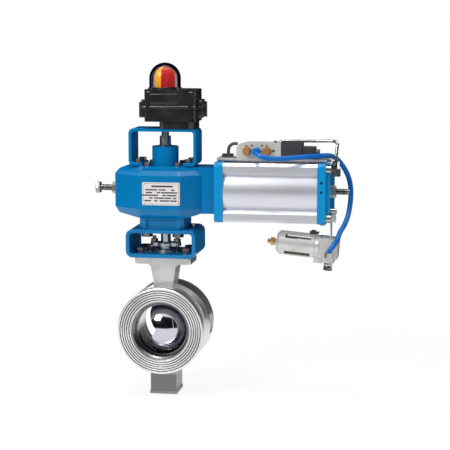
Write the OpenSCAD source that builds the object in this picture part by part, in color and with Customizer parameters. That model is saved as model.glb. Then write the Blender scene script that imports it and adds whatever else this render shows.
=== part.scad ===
// Wafer V-port ball control valve, turned by a scotch-yoke air cylinder,
// with a position switch box, a solenoid valve and an air filter.
// Millimetres. The origin is the centre of the inlet face, on the pipe axis.
// +Y runs with the flow, +Z up the stem and +X towards the cylinder.

/* [Valve] */
// Bore of the pipe
bore_d = 80; // [72:1:82]
// Bore of the outlet behind the ball
outlet_d = 90; // [82:1:91]
// Length between the two faces that the pipe flanges clamp
face_to_face = 100; // [98:1:110]
// Outer diameter of both sealing faces
flange_d = 138; // [134:1:150]
// Length of the front rim along the pipe
front_rim = 12; // [8:1:16]
// Length of the rear rim along the pipe
rear_rim = 43; // [30:1:44]
// Outer diameter of the waist between the rims
waist_d = 126; // [118:1:130]
// Diameter of the ball
ball_d = 89; // [87:0.5:90]
// Wall of the ball segment
ball_wall = 8; // [5:0.5:10]
// Opening angle of the ball at rest, counted from closed
rest_open = 45; // [40:1:50]
// Included angle of the notch in the ball's leading edge
notch_angle = 110; // [90:1:130]
// Diameter of the chamber that the ball turns in
chamber_d = 93; // [92:0.5:96]
// Diameter of the valve stem
stem_d = 16; // [14:0.5:18]
// Height of the valve's top plate above the pipe axis
plate_top = 116; // [112:1:122]
// Width of the top plate
plate_w = 90; // [88:1:96]
// Depth of the top plate
plate_d = 56; // [54:1:64]
// Thickness of the top plate
plate_t = 12; // [10:1:14]
// Distance of the foot's underside below the pipe axis
foot_drop = 107; // [100:1:115]
// Width of the foot
foot_w = 42; // [40:1:48]
// Depth of the foot
foot_d = 48; // [46:1:56]

/* [Mounting bracket] */
// Outer width of the closed bracket
bracket_w = 112; // [108:1:120]
// Outer height of the closed bracket
bracket_h = 45; // [44:1:60]
// Depth of the bracket along the pipe
bracket_d = 88; // [70:1:92]
// Wall of the bracket
bracket_wall = 6; // [5:0.5:7]

/* [Housing] */
// Height of the rod axis above the bracket
rod_height = 61; // [60:1:64]
// Half depth of the housing
housing_half_d = 50; // [48:1:54]
// Distance from the stem axis to the housing's left face
housing_left = 79; // [76:1:88]
// Wall of the housing
housing_wall = 7; // [5:0.5:7]
// Distance from the stem axis to the face that carries the cylinder
neck_end = 86; // [84:1:92]
// Width of the square pedestal under the housing
pedestal_w = 72; // [68:1:76]
// Height of the pedestal
pedestal_h = 18; // [16:1:20]
// Diameter of the bearing boss on the cover
boss_d = 42; // [38:1:46]
// Height of the bearing boss
boss_h = 30; // [26:1:34]
// Diameter of the drive shaft
shaft_d = 20; // [19:0.5:22]
// Distance from the stem axis to the yoke roller
yoke_offset = 22; // [21:0.5:23]
// Diameter of the yoke roller
roller_d = 12; // [10:0.5:12]
// Half of the piston's travel
half_stroke = 20.5; // [18:0.5:20.5]

/* [Cylinder] */
// Bore of the air cylinder
cylinder_bore = 80; // [70:1:82]
// Width and height of the cylinder's end plates
end_w = 94; // [92:1:98]
// Length of the cylinder tube
tube_l = 147; // [140:1:170]
// Thickness of the inner end plate
inner_plate_t = 14; // [12:1:18]
// Thickness of the outer end cap without its raised face
outer_cap_t = 13; // [12:1:18]
// Thickness of the outer cap's raised face
cap_step_t = 6; // [4:1:8]
// Diameter of the piston rod
rod_d = 20; // [18:0.5:22]
// Length of the piston
piston_l = 26; // [22:1:34]
// Diameter of the two stop screws
stop_d = 10; // [8:0.5:12]

/* [Switch box] */
// Height of the upper bracket above the cover
switch_bracket_h = 59; // [56:1:66]
// Width of the upper bracket
switch_bracket_w = 109; // [106:1:116]
// Depth of the upper bracket
switch_bracket_d = 50; // [46:1:54]
// Wall of the upper bracket
switch_bracket_wall = 5; // [4:0.5:6]
// Width of the switch box
box_w = 83; // [80:1:90]
// Depth of the switch box
box_d = 64; // [62:1:70]
// Height of the switch box base above its hub
base_h = 22; // [20:1:26]
// Height of the switch box lid
lid_h = 28; // [24:1:32]
// Outer diameter of the indicator dome
dome_d = 50; // [48:1:54]

/* [Air supply] */
// Length of the solenoid valve's body
valve_l = 70; // [68:1:76]
// Height of the solenoid valve's body
valve_h = 25; // [24:1:28]
// Depth of the solenoid valve's body
valve_d = 27; // [26:1:30]
// Length of the coil
coil_l = 33; // [30:1:36]
// Outer diameter of the air hose
hose_d = 8; // [6:0.5:8]
// Outer diameter of the steel air pipe
pipe_d = 5; // [4:0.5:6]
// Outer diameter of the filter's bowl guard
guard_d = 38; // [36:1:40]
// Length of the filter's bowl guard
guard_l = 62; // [58:1:66]
// Width of the filter's head
head_w = 36; // [36:1:42]
// Slope of the filter below the level
filter_tilt = 5; // [0:1:8]

/* [Hidden] */

$fn = 64;
eps = 0.01;
run_gap = 0.05;
move_gap = 0.3;
fit_gap = 0.2;
stem_y = face_to_face / 2;
ball_r = ball_d / 2;
chamber_r = chamber_d / 2;
stem_r = stem_d / 2;
shaft_r = shaft_d / 2;
roller_r = roller_d / 2;
rod_r = rod_d / 2;
stop_r = stop_d / 2;
cylinder_r = cylinder_bore / 2;
hose_r = hose_d / 2;
pipe_r = pipe_d / 2;

// Valve stations, measured from the front face or the pipe axis
mouth_r = chamber_r + 1;
retainer_front = 4;
retainer_t = 12;
chamber_depth = 86;
outlet_cone = 7;
waist_slope = 4;
ear_h = 11;
ear_d = 30;
ball_notch = 0.58 * ball_r;
seat_port_r = bore_d / 2;
retainer_port_r = bore_d / 2 + 2.5;
seat_end = sqrt(pow(ball_r, 2) - pow(seat_port_r, 2)) - 0.5;
seat_t = face_to_face / 2 - retainer_front - retainer_t - seat_end;
bearing_wall = 3;
bearing_l = 18;
packing_d = 26;
packing_h = 5;
packing_count = 4;
boss_top = plate_top + 8;
packing_floor = boss_top - 32;
stud_x = 18.5;
stud_d = 6;
gland_z = boss_top + 6;
gland_t = 6;
cover_t = 5;
foot_bottom = foot_drop - cover_t;

// Bolt places
bolt_d = 10;
bolt_head = 16;
bolt_head_h = 7;
plate_bolt_x = 37;
plate_bolt_y = 16;
pedestal_bolt = 25;
bolt_clear = 0.5;
earth_d = 5;
earth_x = bracket_w / 2 - 15;
earth_y = 6;

// Housing stations
bracket_top = plate_top + bracket_h;
pedestal_top = bracket_top + pedestal_h;
rod_z = bracket_top + rod_height;
wall_bottom = pedestal_top + 15;
wall_top = rod_z + 25;
body_top = wall_top + 7;
cover_z = body_top + 6;
boss_z = cover_z + boss_h;
front_half = 33;
side_half = 16;
neck_half = 27;
neck_start = 45;
neck_bottom = rod_z - 36;
neck_top = rod_z + 37;
bevel = 6;
cover_slope = 14;
floor_z = pedestal_top + 9;
bush_wall = 4;
yoke_sleeve_r = shaft_r + 3;
yoke_arm_t = 10;
yoke_arm_w = 30;
yoke_gap = 14;
slot_play = 1.3;
yoke_reach = yoke_offset / cos(45) + roller_r + 3;
block_half_h = yoke_gap - 1.5;
block_slot_half = yoke_sleeve_r + half_stroke + 0.7;
block_half_l = block_slot_half + 6.8;
block_slot_w = 2 * yoke_sleeve_r + 2;
block_half_d = block_slot_w / 2 + 4.5;
stub_r = 9.5;
stub_top = boss_z + 16;

// Cylinder stations along X
tube_x = neck_end + inner_plate_t;
cap_x = tube_x + tube_l;
step_x = cap_x + outer_cap_t;
cap_end = step_x + cap_step_t;
piston_x = tube_x + tube_l / 2;
tie_offset = end_w / 2 - 9;
tie_d = 8;
tie_head = 13;
stop_out = 46;
stop_nut = 17;
stop_nut_t = 6;

// Switch box stations
bracket2_top = cover_z + switch_bracket_h;
hub_h = 11;
base_z = bracket2_top + hub_h;
lid_z = base_z + base_h;
lid_top = lid_z + lid_h;
dome_r = dome_d / 2;
dome_straight = 14;
dome_wall = 2.5;
dome_seat = 2.5;
box_x = 13;
box_wall = 3;
lug_r = 6.5;
lug_x = box_w / 2 + 3.6;
lug_y = box_d / 4;
lug_below = 16;
lug_above = 8;
lid_screw_r = 3.2;
lid_screw_h = 4;
drum_r = 17;
drum_straight = 16;
drum_lift = 3;
drum_bore = 20;
switch_shaft_r = 6;
bracket2_foot = 22;
foot_bolt_x = switch_bracket_w / 2 - switch_bracket_wall - 9.5;
foot_bolt_y = switch_bracket_d / 2 - 10;
cover_bolt_x = switch_bracket_w / 2 - bracket2_foot - 8;
cover_bolt_y = 22;
cover_bolt_head = 11;
cover_bolt_h = 5.5;

// Air supply stations
plate_gap = 2;
plate2_z = rod_z + end_w / 2 + plate_gap;
plate2_t = 3;
valve_z = plate2_z + plate2_t;
valve_back = 148;
valve_x = cap_end - valve_back;
valve_y = -12;
valve_front = valve_y - valve_d / 2;
valve_rear = valve_y + valve_d / 2;
coil_x = valve_x + valve_l;
din_x = coil_x + coil_l;
din_l = 26;
din_w = 22;
port_z = valve_z + 12;
port_pitch = 15.7;
port_mid = valve_x + 32.5;
button_x = valve_x + valve_l - 10;
button_y = valve_y - 3;
button_r = 2.4;
button_in = 1.2;
button_pocket = 3.2;
fitting_r = 6.5;
fitting_l = 12.4;
fitting_bore = 5;
block_h = 6;
filter_x = cap_end - 4;
filter_y = -22;
filter_drop = 38;
filter_z = rod_z - end_w / 2 - filter_drop;
head_l = 34;
head_top = head_w / 2 - 2;
head_front = head_w / 2 - 1;
head_port_x = 4.5;
head_port_z = -11.5;
elbow_out = 11;
elbow_r = 6;
elbow_up = 7.5;
mouth_z = head_port_z + 1.5;
elbow_mouth = [filter_x + head_port_x * cos(filter_tilt) + mouth_z * sin(filter_tilt),
    filter_y - head_front - elbow_out,
    filter_z - head_port_x * sin(filter_tilt) + mouth_z * cos(filter_tilt)];
supply_x = 3;
supply_z = -22;
pipe_x = valve_x + 58;
pipe_end_x = cap_end + 6;

// Route of the air hose over the cylinder: the share of the way along it, then the distances
// from the solenoid valve's front and from its middle port
hose_run = [[0, -8, 0], [0, -16.5, 0], [0.01, -23.5, -0.7], [0.04, -29.5, -2.7], [0.1, -33, -5.5],
    [0.195, -33, -8], [0.315, -29.5, -9], [0.455, -24.5, -8.2], [0.6, -18.5, -7], [0.74, -9.5, -6.5],
    [0.87, 3.5, -6.2], [0.965, 17.5, -7.2]];
// Route of its fall to the filter: from the cap's end, from the filter's axis, and the share of the height
hose_fall = [[6, 28, 0.912], [15, 37, 0.829], [22, 41, 0.738], [26.5, 40.5, 0.638], [28, 36, 0.53],
    [27.5, 27, 0.423], [25.5, 15.5, 0.325], [21.5, 3.5, 0.242], [16, -9, 0.174], [12.5, -21.5, 0.107],
    [7.5, -26, 0.047]];
// Its end, from the bottom of the elbow's mouth
hose_end = [[2.6, -0.3, 10.4], [0.1, 0, 4.4], [0, 0, 0.4]];
hose_route = concat(
    [for (p = hose_run) [port_mid + p[0] * (cap_end - port_mid), valve_front + p[1], port_z + p[2]]],
    [for (p = hose_fall) [cap_end + p[0], filter_y + p[1], filter_z + p[2] * (port_z - filter_z)]],
    [for (p = hose_end) elbow_mouth + p]);

// Route of the short pilot hose at the left end of the solenoid valve, from that end's foot
pilot_run = [[0, 22], [-6, 22], [-10.5, 20], [-13.5, 16], [-14.5, 11], [-14.5, 7]];
pilot_route = [for (p = pilot_run) [valve_x + p[0], valve_y, valve_z + p[1]]];

// Route of the steel pipe from the solenoid valve to the outer cap: the share of the way,
// then the distances from the solenoid valve's rear and from its underside
pipe_run = [[0, 0, 16], [0, 4.5, 16], [0.01, 7.5, 18], [0.042, 9, 22], [0.094, 9.5, 24.5], [0.167, 9.5, 25],
    [0.41, 9.5, 25.5], [0.67, 8.5, 26], [0.93, 3.5, 26.5], [0.985, -0.5, 26], [1.015, -3.5, 23.5],
    [1.02, -5.5, 20], [1.01, -7.5, 14], [1.01, -9.5, 8], [1, -10.5, 3], [1, -10.5, -1], [1, -10.5, -4]];
pipe_route = [for (p = pipe_run) [pipe_x + p[0] * (pipe_end_x - pipe_x), valve_rear + p[1], valve_z + p[2]]];

// ---------- helpers ----------

module at_stem() {
    translate([0, stem_y, 0]) children();
}

module along_x() {
    rotate([0, 90, 0]) children();
}

module along_y() {
    rotate([-90, 0, 0]) children();
}

module both_x(x) {
    translate([x, 0, 0]) children();
    mirror([1, 0, 0]) translate([x, 0, 0]) children();
}

module four(x, y) {
    for (sx = [-1, 1], sy = [-1, 1]) {
        translate([sx * x, sy * y, 0]) children();
    }
}

module ring(r_out, r_in, h) {
    difference() {
        cylinder(r = r_out, h = h);
        translate([0, 0, -1]) cylinder(r = r_in, h = h + 2);
    }
}

// A rectangle with round corners, centred
module soft_square(w, d, r) {
    union() {
        square([w - 2 * r, d], center = true);
        square([w, d - 2 * r], center = true);
        four(w / 2 - r, d / 2 - r) circle(r = r);
    }
}

// A hexagon by its size across the flats, on top of z = 0
module hex_head(flats, h) {
    cylinder(d = flats / cos(30), h = h, $fn = 6);
}

// A hex bolt that points down, its bearing face at z = 0
module hex_bolt(d, flats, h, l) {
    washer_t = 1.6;
    translate([0, 0, washer_t]) hex_head(flats, h - washer_t);
    cylinder(d = flats * 1.14, h = washer_t);
    translate([0, 0, -l]) cylinder(d = d, h = l + eps);
}

// Sweeps a tube of radius r along the points of a route
function unit(v) = v / norm(v);
function tangent(p, i) = unit(p[min(i + 1, len(p) - 1)] - p[max(i - 1, 0)]);
function side(t) = unit(cross(t, abs(t[2]) > 0.9 ? [0, 1, 0] : [0, 0, 1]));
function carried(n, t) = unit(n - (n * t) * t);
function normals(p, i = 0, n = undef) = i >= len(p) ? [] :
    let (t = tangent(p, i), m = i == 0 ? side(t) : carried(n, t)) concat([m], normals(p, i + 1, m));
function spline(a, b, c, d, t) = 0.5 * ((2 * b) + (c - a) * t + (2 * a - 5 * b + 4 * c - d) * t * t
    + (3 * b - a - 3 * c + d) * t * t * t);
function smooth_route(p, n) = concat([for (i = [0:len(p) - 2], k = [0:n - 1])
    spline(p[max(i - 1, 0)], p[i], p[i + 1], p[min(i + 2, len(p) - 1)], k / n)], [p[len(p) - 1]]);

module swept_tube(route, r, sides = 10) {
    count = len(route);
    n = normals(route);
    points = [for (i = [0:count - 1], k = [0:sides - 1])
        let (t = tangent(route, i), b = cross(t, n[i]), a = 360 * k / sides)
        route[i] + r * (cos(a) * n[i] + sin(a) * b)];
    walls = [for (i = [0:count - 2], k = [0:sides - 1])
        let (j = (k + 1) % sides)
        [i * sides + k, (i + 1) * sides + k, (i + 1) * sides + j, i * sides + j]];
    start = [[for (k = [0:sides - 1]) k]];
    end = [[for (k = [sides - 1:-1:0]) (count - 1) * sides + k]];
    polyhedron(points = points, faces = concat(walls, start, end), convexity = 8);
}

// ---------- valve ----------

module valve_drum() {
    f = flange_d / 2;
    w = waist_d / 2;
    along_y() translate([0, 0, -face_to_face / 2]) rotate_extrude($fn = 128) polygon([
        [0, 0], [f - 1, 0], [f, 1], [f, front_rim - 1], [f - 1, front_rim],
        [w, front_rim + waist_slope], [w, face_to_face - rear_rim - waist_slope],
        [f - 1, face_to_face - rear_rim], [f, face_to_face - rear_rim + 1],
        [f, face_to_face - 1], [f - 1, face_to_face], [0, face_to_face]]);
}

module neck() {
    top_half = 20;
    low_half = 15;
    fillet = 5;
    rotate([90, 0, 0]) linear_extrude(height = plate_d - 12, center = true) polygon([
        [-low_half, 50], [low_half, 50], [low_half, 68], [top_half, plate_top - plate_t - fillet],
        [top_half + fillet, plate_top - plate_t], [top_half + fillet, plate_top - 1],
        [-top_half - fillet, plate_top - 1], [-top_half - fillet, plate_top - plate_t],
        [-top_half, plate_top - plate_t - fillet], [-low_half, 68]]);
}

module valve_body() {
    groove_count = 5;
    groove_pitch = 3.6;
    groove_w = 1.6;
    groove_depth = 1;
    groove_first = flange_d / 2 - 3.4;
    color("silver") at_stem() difference() {
        union() {
            valve_drum();
            neck();
            translate([0, 0, plate_top - plate_t]) linear_extrude(height = plate_t) soft_square(plate_w, plate_d, 3);
            cylinder(d = 2 * (stud_x - stud_d / 2 - fit_gap), h = boss_top);
            translate([-foot_w / 2, -foot_d / 2, -foot_bottom]) cube([foot_w, foot_d, foot_bottom - flange_d / 2 + 12]);
        }
        along_y() translate([0, 0, -face_to_face / 2 - 1]) cylinder(r = chamber_r, h = chamber_depth + 1, $fn = 128);
        along_y() translate([0, 0, chamber_depth - face_to_face / 2 - eps])
            cylinder(r1 = chamber_r, r2 = outlet_d / 2, h = outlet_cone, $fn = 128);
        along_y() cylinder(d = outlet_d, h = face_to_face, $fn = 128);
        along_y() translate([0, 0, -face_to_face / 2 - 1]) cylinder(r = mouth_r, h = retainer_front + 1, $fn = 128);
        translate([0, 0, 20]) cylinder(r = stem_r + bearing_wall, h = boss_top);
        translate([0, 0, packing_floor]) cylinder(d = packing_d, h = boss_top);
        translate([0, 0, -foot_bottom - 1]) cylinder(r = stem_r + bearing_wall, h = foot_bottom);
        both_x(flange_d / 2 - 4) translate([0, face_to_face / 2 - rear_rim + 8, -15]) cube([20, 27, 30]);
        four(plate_bolt_x, plate_bolt_y) translate([0, 0, plate_top - plate_t - 1]) cylinder(d = bolt_d, h = plate_t + 2);
        both_x(stud_x) translate([0, 0, plate_top - 9]) cylinder(d = stud_d, h = 20);
        four(foot_w / 2 - 5, foot_d / 2 - 5) translate([0, 0, -foot_bottom - 1]) cylinder(d = 5, h = 12);
        for (i = [0:groove_count - 1]) {
            along_y() translate([0, 0, -face_to_face / 2 - 1])
                ring(groove_first - i * groove_pitch, groove_first - i * groove_pitch - groove_w, groove_depth + 1, $fn = 128);
        }
    }
}

module seat_ring() {
    color("dimgray") at_stem() difference() {
        along_y() translate([0, 0, retainer_front + retainer_t - face_to_face / 2]) ring(chamber_r, seat_port_r, seat_t, $fn = 128);
        sphere(r = ball_r + move_gap, $fn = 128);
    }
}

module seat_retainer() {
    lip = 2.5;
    color("gainsboro") at_stem() along_y() translate([0, 0, retainer_front - face_to_face / 2])
        rotate_extrude($fn = 128) polygon([
            [retainer_port_r, lip], [retainer_port_r + lip, 0], [chamber_r, 0], [chamber_r, retainer_t],
            [retainer_port_r, retainer_t]]);
}

module stem_bearings() {
    color("peru") at_stem() {
        translate([0, 0, chamber_r + 1]) ring(stem_r + bearing_wall, stem_r + run_gap, bearing_l);
        translate([0, 0, packing_floor - 12]) ring(stem_r + bearing_wall, stem_r + run_gap, 12);
        translate([0, 0, -chamber_r - 1 - bearing_l]) ring(stem_r + bearing_wall, stem_r + run_gap, bearing_l);
    }
}

module packing_rings() {
    color("white") at_stem() for (i = [0:packing_count - 1]) {
        translate([0, 0, packing_floor + i * packing_h]) ring(packing_d / 2, stem_r + run_gap, packing_h - 0.1);
    }
}

module gland_follower() {
    bottom = packing_floor + packing_count * packing_h;
    color("silver") at_stem() translate([0, 0, bottom]) ring(packing_d / 2 - fit_gap, stem_r + move_gap, gland_z - bottom);
}

module gland_flange() {
    color("lightgray") at_stem() translate([0, 0, gland_z]) linear_extrude(height = gland_t) difference() {
        union() {
            circle(d = 30);
            square([2 * stud_x, 20], center = true);
            both_x(stud_x) circle(d = 13);
        }
        circle(r = stem_r + 1);
        both_x(stud_x) circle(d = stud_d + 0.6);
    }
}

module gland_studs() {
    nut_h = 5.5;
    color("dimgray") at_stem() both_x(stud_x) {
        translate([0, 0, plate_top - 9]) cylinder(d = stud_d, h = gland_z + gland_t + 10 - plate_top + 9);
        translate([0, 0, gland_z + gland_t]) difference() {
            hex_head(10, nut_h);
            translate([0, 0, -1]) cylinder(d = stud_d, h = nut_h + 2);
        }
    }
}

module bottom_cover() {
    lip = 1;
    color("gray") at_stem() {
        difference() {
            translate([-foot_w / 2 - lip, -foot_d / 2 - lip, -foot_drop]) cube([foot_w + 2 * lip, foot_d + 2 * lip, cover_t]);
            four(foot_w / 2 - 5, foot_d / 2 - 5) translate([0, 0, -foot_drop - 1]) cylinder(d = 5, h = 10);
        }
        four(foot_w / 2 - 5, foot_d / 2 - 5) translate([0, 0, -foot_drop + 0.6]) cylinder(d = 5, h = 12);
    }
}

// The ball is drawn closed, facing the inlet, and then turned to its place at rest
module v_ball() {
    slope = tan(notch_angle / 2);
    far = ball_d;
    ear_z = ball_r - ear_h;
    color("lightgray") at_stem() rotate([0, 0, rest_open]) difference() {
        hull() sphere(r = ball_r, $fn = 48);
        difference() {
            union() {
                hull() sphere(r = ball_r - ball_wall, $fn = 32);
                rotate([0, -90, 0]) linear_extrude(height = far) polygon([
                    [0, -ball_notch], [(far + ball_notch) * slope, far], [-(far + ball_notch) * slope, far]]);
                translate([-eps, 4, -far]) cube([far, far, 2 * far]);
            }
            for (z = [ear_z, -far]) {
                translate([0, 0, z]) cylinder(d = ear_d, h = far - ear_z);
            }
        }
        translate([0, 0, -far]) cylinder(r = stem_r, h = 2 * far);
    }
}

module valve_stem() {
    color("silver") at_stem() translate([0, 0, ball_r - ear_h]) cylinder(r = stem_r, h = floor_z - ball_r + ear_h);
}

module lower_trunnion() {
    color("silver") at_stem() translate([0, 0, -chamber_r - bearing_l - 1])
        cylinder(r = stem_r, h = chamber_r + bearing_l + 1 - ball_r + ear_h);
}

// ---------- mounting bracket ----------

module mounting_bracket() {
    r = 11;
    color("dodgerblue") at_stem() difference() {
        translate([0, 0, plate_top + bracket_h / 2]) rotate([90, 0, 0]) linear_extrude(height = bracket_d, center = true)
            difference() {
                soft_square(bracket_w, bracket_h, r);
                soft_square(bracket_w - 2 * bracket_wall, bracket_h - 2 * bracket_wall, r - bracket_wall);
            }
        translate([0, 0, plate_top - 1]) cylinder(r = stud_x + 5.5, h = bracket_wall + 2);
        translate([0, 0, bracket_top - bracket_wall - 1]) cylinder(r = 17, h = bracket_wall + 2);
        four(plate_bolt_x, plate_bolt_y) translate([0, 0, plate_top - 1]) cylinder(d = bolt_d + bolt_clear, h = bracket_wall + 2);
        four(pedestal_bolt, pedestal_bolt) translate([0, 0, bracket_top - bracket_wall - 1])
            cylinder(d = bolt_d + bolt_clear, h = bracket_wall + 2);
        translate([earth_x, earth_y, bracket_top - bracket_wall - 1]) cylinder(d = earth_d, h = bracket_wall + 2);
    }
}

module bracket_bolts() {
    color("dimgray") at_stem() {
        four(plate_bolt_x, plate_bolt_y) translate([0, 0, plate_top + bracket_wall])
            hex_bolt(bolt_d, bolt_head, bolt_head_h, bracket_wall + plate_t - 1);
        four(pedestal_bolt, pedestal_bolt) translate([0, 0, bracket_top - bracket_wall]) mirror([0, 0, 1])
            hex_bolt(bolt_d, bolt_head, bolt_head_h, bracket_wall + 14);
        translate([earth_x, earth_y, bracket_top]) hex_bolt(earth_d, 8, 4.5, bracket_wall - 1);
    }
}

// ---------- housing ----------

function housing_plan() = [[front_half, -housing_half_d], [64, -neck_half], [64, neck_half],
    [front_half, housing_half_d], [-front_half, housing_half_d], [-housing_left, side_half],
    [-housing_left, -side_half], [-front_half, -housing_half_d]];

// A thin slab of the housing's outline, drawn in by inset
module housing_slab(inset, z, h) {
    r = 6;
    translate([0, 0, z]) linear_extrude(height = h) offset(r = r, $fn = 32) offset(delta = -inset - r)
        polygon(housing_plan());
}

module housing() {
    slab = 0.5;
    color("dodgerblue") at_stem() difference() {
        union() {
            hull() {
                housing_slab(0, wall_bottom, wall_top - wall_bottom);
                housing_slab(bevel, body_top - slab, slab);
                housing_slab(bevel, wall_bottom - 10, slab);
                translate([0, 0, pedestal_top]) linear_extrude(height = slab)
                    soft_square(pedestal_w + 6, pedestal_w + 6, 8);
            }
            translate([0, 0, bracket_top]) linear_extrude(height = floor_z - bracket_top) soft_square(pedestal_w, pedestal_w, 8);
            translate([neck_start, -neck_half, neck_bottom]) cube([neck_end - neck_start, 2 * neck_half, neck_top - neck_bottom]);
        }
        difference() {
            hull() {
                housing_slab(housing_wall, floor_z + 4, wall_top - floor_z - 4);
                housing_slab(housing_wall + bevel, body_top, slab);
                housing_slab(housing_wall + bevel, floor_z, slab);
            }
            translate([0, 0, floor_z - 1]) cylinder(r = shaft_r + bush_wall + 5, h = 8);
        }
        translate([0, 0, bracket_top - 1]) cylinder(r = shaft_r + bush_wall, h = body_top);
        translate([50, 0, rod_z]) along_x() cylinder(r = rod_r + 14, h = 60);
        translate([-housing_left - 1, 0, rod_z]) along_x() cylinder(r = stop_r, h = 20);
        four(pedestal_bolt, pedestal_bolt) translate([0, 0, bracket_top - 1]) cylinder(d = bolt_d, h = 17);
        for (s = [-1, 1]) {
            translate([-24, s * (pedestal_w / 2 - 1.5) - 2, bracket_top + 3]) cube([48, 4, pedestal_h - 6]);
        }
    }
}

module housing_cover() {
    slab = 0.5;
    color("dodgerblue") at_stem() difference() {
        union() {
            hull() {
                housing_slab(bevel, body_top, slab);
                housing_slab(bevel + cover_slope, cover_z - slab, slab);
            }
            translate([0, 0, body_top]) cylinder(d = boss_d, h = boss_z - body_top);
        }
        translate([0, 0, body_top - 1]) cylinder(r = shaft_r + bush_wall, h = boss_h + 20);
        translate([neck_start - fit_gap, -neck_half - fit_gap, body_top - 1])
            cube([neck_end, 2 * (neck_half + fit_gap), cover_z - body_top + 2]);
    }
}

module cover_bolt_places() {
    four(foot_bolt_x, foot_bolt_y) translate([0, 0, cover_z + switch_bracket_wall]) children();
    four(cover_bolt_x, cover_bolt_y) translate([0, 0, cover_z]) children();
}

module cover_bolts() {
    color("dimgray") at_stem() cover_bolt_places() {
        hex_head(cover_bolt_head, cover_bolt_h);
    }
}

module bronze_bushes() {
    z_low = bracket_top + 4;
    color("peru") at_stem() {
        translate([0, 0, z_low]) ring(shaft_r + bush_wall, shaft_r + run_gap, floor_z + 6 - z_low);
        translate([0, 0, body_top + 2]) ring(shaft_r + bush_wall, shaft_r + run_gap, boss_z - body_top - 5);
        translate([neck_end, 0, rod_z]) along_x() ring(rod_r + 4, rod_r + run_gap, inner_plate_t);
    }
}

module drive_shaft() {
    color("silver") at_stem() difference() {
        union() {
            translate([0, 0, bracket_top + 4]) cylinder(r = shaft_r, h = boss_z - bracket_top - 4);
            translate([0, 0, boss_z - eps]) cylinder(r = stub_r, h = 3);
            translate([0, 0, boss_z + 2]) hex_head(16, stub_top - boss_z - 2);
        }
        translate([0, 0, bracket_top]) cylinder(r = stem_r, h = floor_z - bracket_top);
        translate([0, 0, stub_top - 8]) cylinder(r = switch_shaft_r, h = 20);
    }
}

module yoke_arm() {
    difference() {
        union() {
            cylinder(r = shaft_r + 9, h = yoke_arm_t);
            translate([-yoke_arm_w / 2, 0, 0]) cube([yoke_arm_w, yoke_reach, yoke_arm_t]);
        }
        translate([-roller_r - slot_play, yoke_offset, -1]) cube([2 * (roller_r + slot_play), yoke_reach, yoke_arm_t + 2]);
        translate([0, yoke_offset, -1]) cylinder(r = roller_r + slot_play - eps, h = yoke_arm_t + 2);
    }
}

module yoke() {
    color("slategray") at_stem() difference() {
        union() {
            translate([0, 0, rod_z + yoke_gap]) yoke_arm();
            translate([0, 0, rod_z - yoke_gap - yoke_arm_t]) yoke_arm();
            translate([0, 0, rod_z - yoke_gap - eps]) cylinder(r = yoke_sleeve_r, h = 2 * yoke_gap + 2 * eps);
        }
        translate([0, 0, rod_z - 60]) cylinder(r = shaft_r, h = 120);
    }
}

module slide_block() {
    lug_half = 12;
    lug_y = yoke_offset + 8;
    pin_r = roller_r - 1.5;
    color("gray") at_stem() translate([0, 0, rod_z]) {
        difference() {
            union() {
                translate([-block_half_l, -block_half_d, -block_half_h]) cube([2 * block_half_l, 2 * block_half_d, 2 * block_half_h]);
                translate([-lug_half, 0, -block_half_h]) cube([2 * lug_half, lug_y, 2 * block_half_h]);
                translate([0, yoke_offset, -yoke_gap - yoke_arm_t]) cylinder(r = pin_r, h = 2 * (yoke_gap + yoke_arm_t));
            }
            translate([0, 0, -yoke_gap]) linear_extrude(height = 2 * yoke_gap)
                square([2 * block_slot_half, block_slot_w], center = true);
        }
    }
}

module yoke_rollers() {
    pin_r = roller_r - 1.5;
    color("silver") at_stem() for (z = [yoke_gap, -yoke_gap - yoke_arm_t + 1]) {
        translate([0, yoke_offset, rod_z + z]) ring(roller_r, pin_r, yoke_arm_t - 1);
    }
}

module piston_rod() {
    color("silver") at_stem() translate([block_half_l, 0, rod_z]) along_x()
        cylinder(r = rod_r, h = piston_x + piston_l / 2 - 4 - block_half_l);
}

module left_stop_screw() {
    tip = -block_half_l - half_stroke - 0.5;
    head_x = -housing_left - 34;
    color("silver") at_stem() translate([0, 0, rod_z]) along_x() {
        translate([0, 0, head_x]) cylinder(r = stop_r, h = tip - head_x);
        translate([0, 0, head_x]) hex_head(stop_nut, 7);
    }
}

module stop_lock_nuts() {
    color("silver") at_stem() translate([0, 0, rod_z]) along_x() for (x = [-housing_left - stop_nut_t - 1, cap_end]) {
        translate([0, 0, x]) difference() {
            hex_head(stop_nut, x < 0 ? stop_nut_t + 1 : stop_nut_t);
            translate([0, 0, -1]) cylinder(r = stop_r + run_gap, h = 20);
        }
    }
}

module nameplate() {
    w = 60;
    h = 36;
    t = 1;
    shift = 3;
    color("gainsboro") at_stem() translate([shift, -housing_half_d - t / 2, rod_z - 3]) rotate([90, 0, 0])
        linear_extrude(height = t, center = true) soft_square(w, h, 2);
}

// ---------- cylinder ----------

module end_square(w, t) {
    along_x() linear_extrude(height = t) soft_square(w, w, 7);
}

module tie_places() {
    for (sy = [-1, 1], sz = [-1, 1]) {
        translate([0, sy * tie_offset, sz * tie_offset]) children();
    }
}

module inner_end_plate() {
    color("dodgerblue") at_stem() translate([neck_end, 0, rod_z]) difference() {
        end_square(end_w, inner_plate_t);
        translate([-1, 0, 0]) along_x() cylinder(r = rod_r + 4, h = inner_plate_t + 2);
        tie_places() translate([-1, 0, 0]) along_x() cylinder(d = tie_d, h = inner_plate_t + 2);
    }
}

// One quarter of the tube's outline: a corner ridge with sloping sides
module corner_ridge() {
    s = end_w / 2 - 1;
    polygon([[s - 20, s - 20], [s - 7, s - 20], [s, s - 14], [s, s - 4], [s - 4, s], [s - 14, s], [s - 20, s - 7]]);
}

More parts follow.
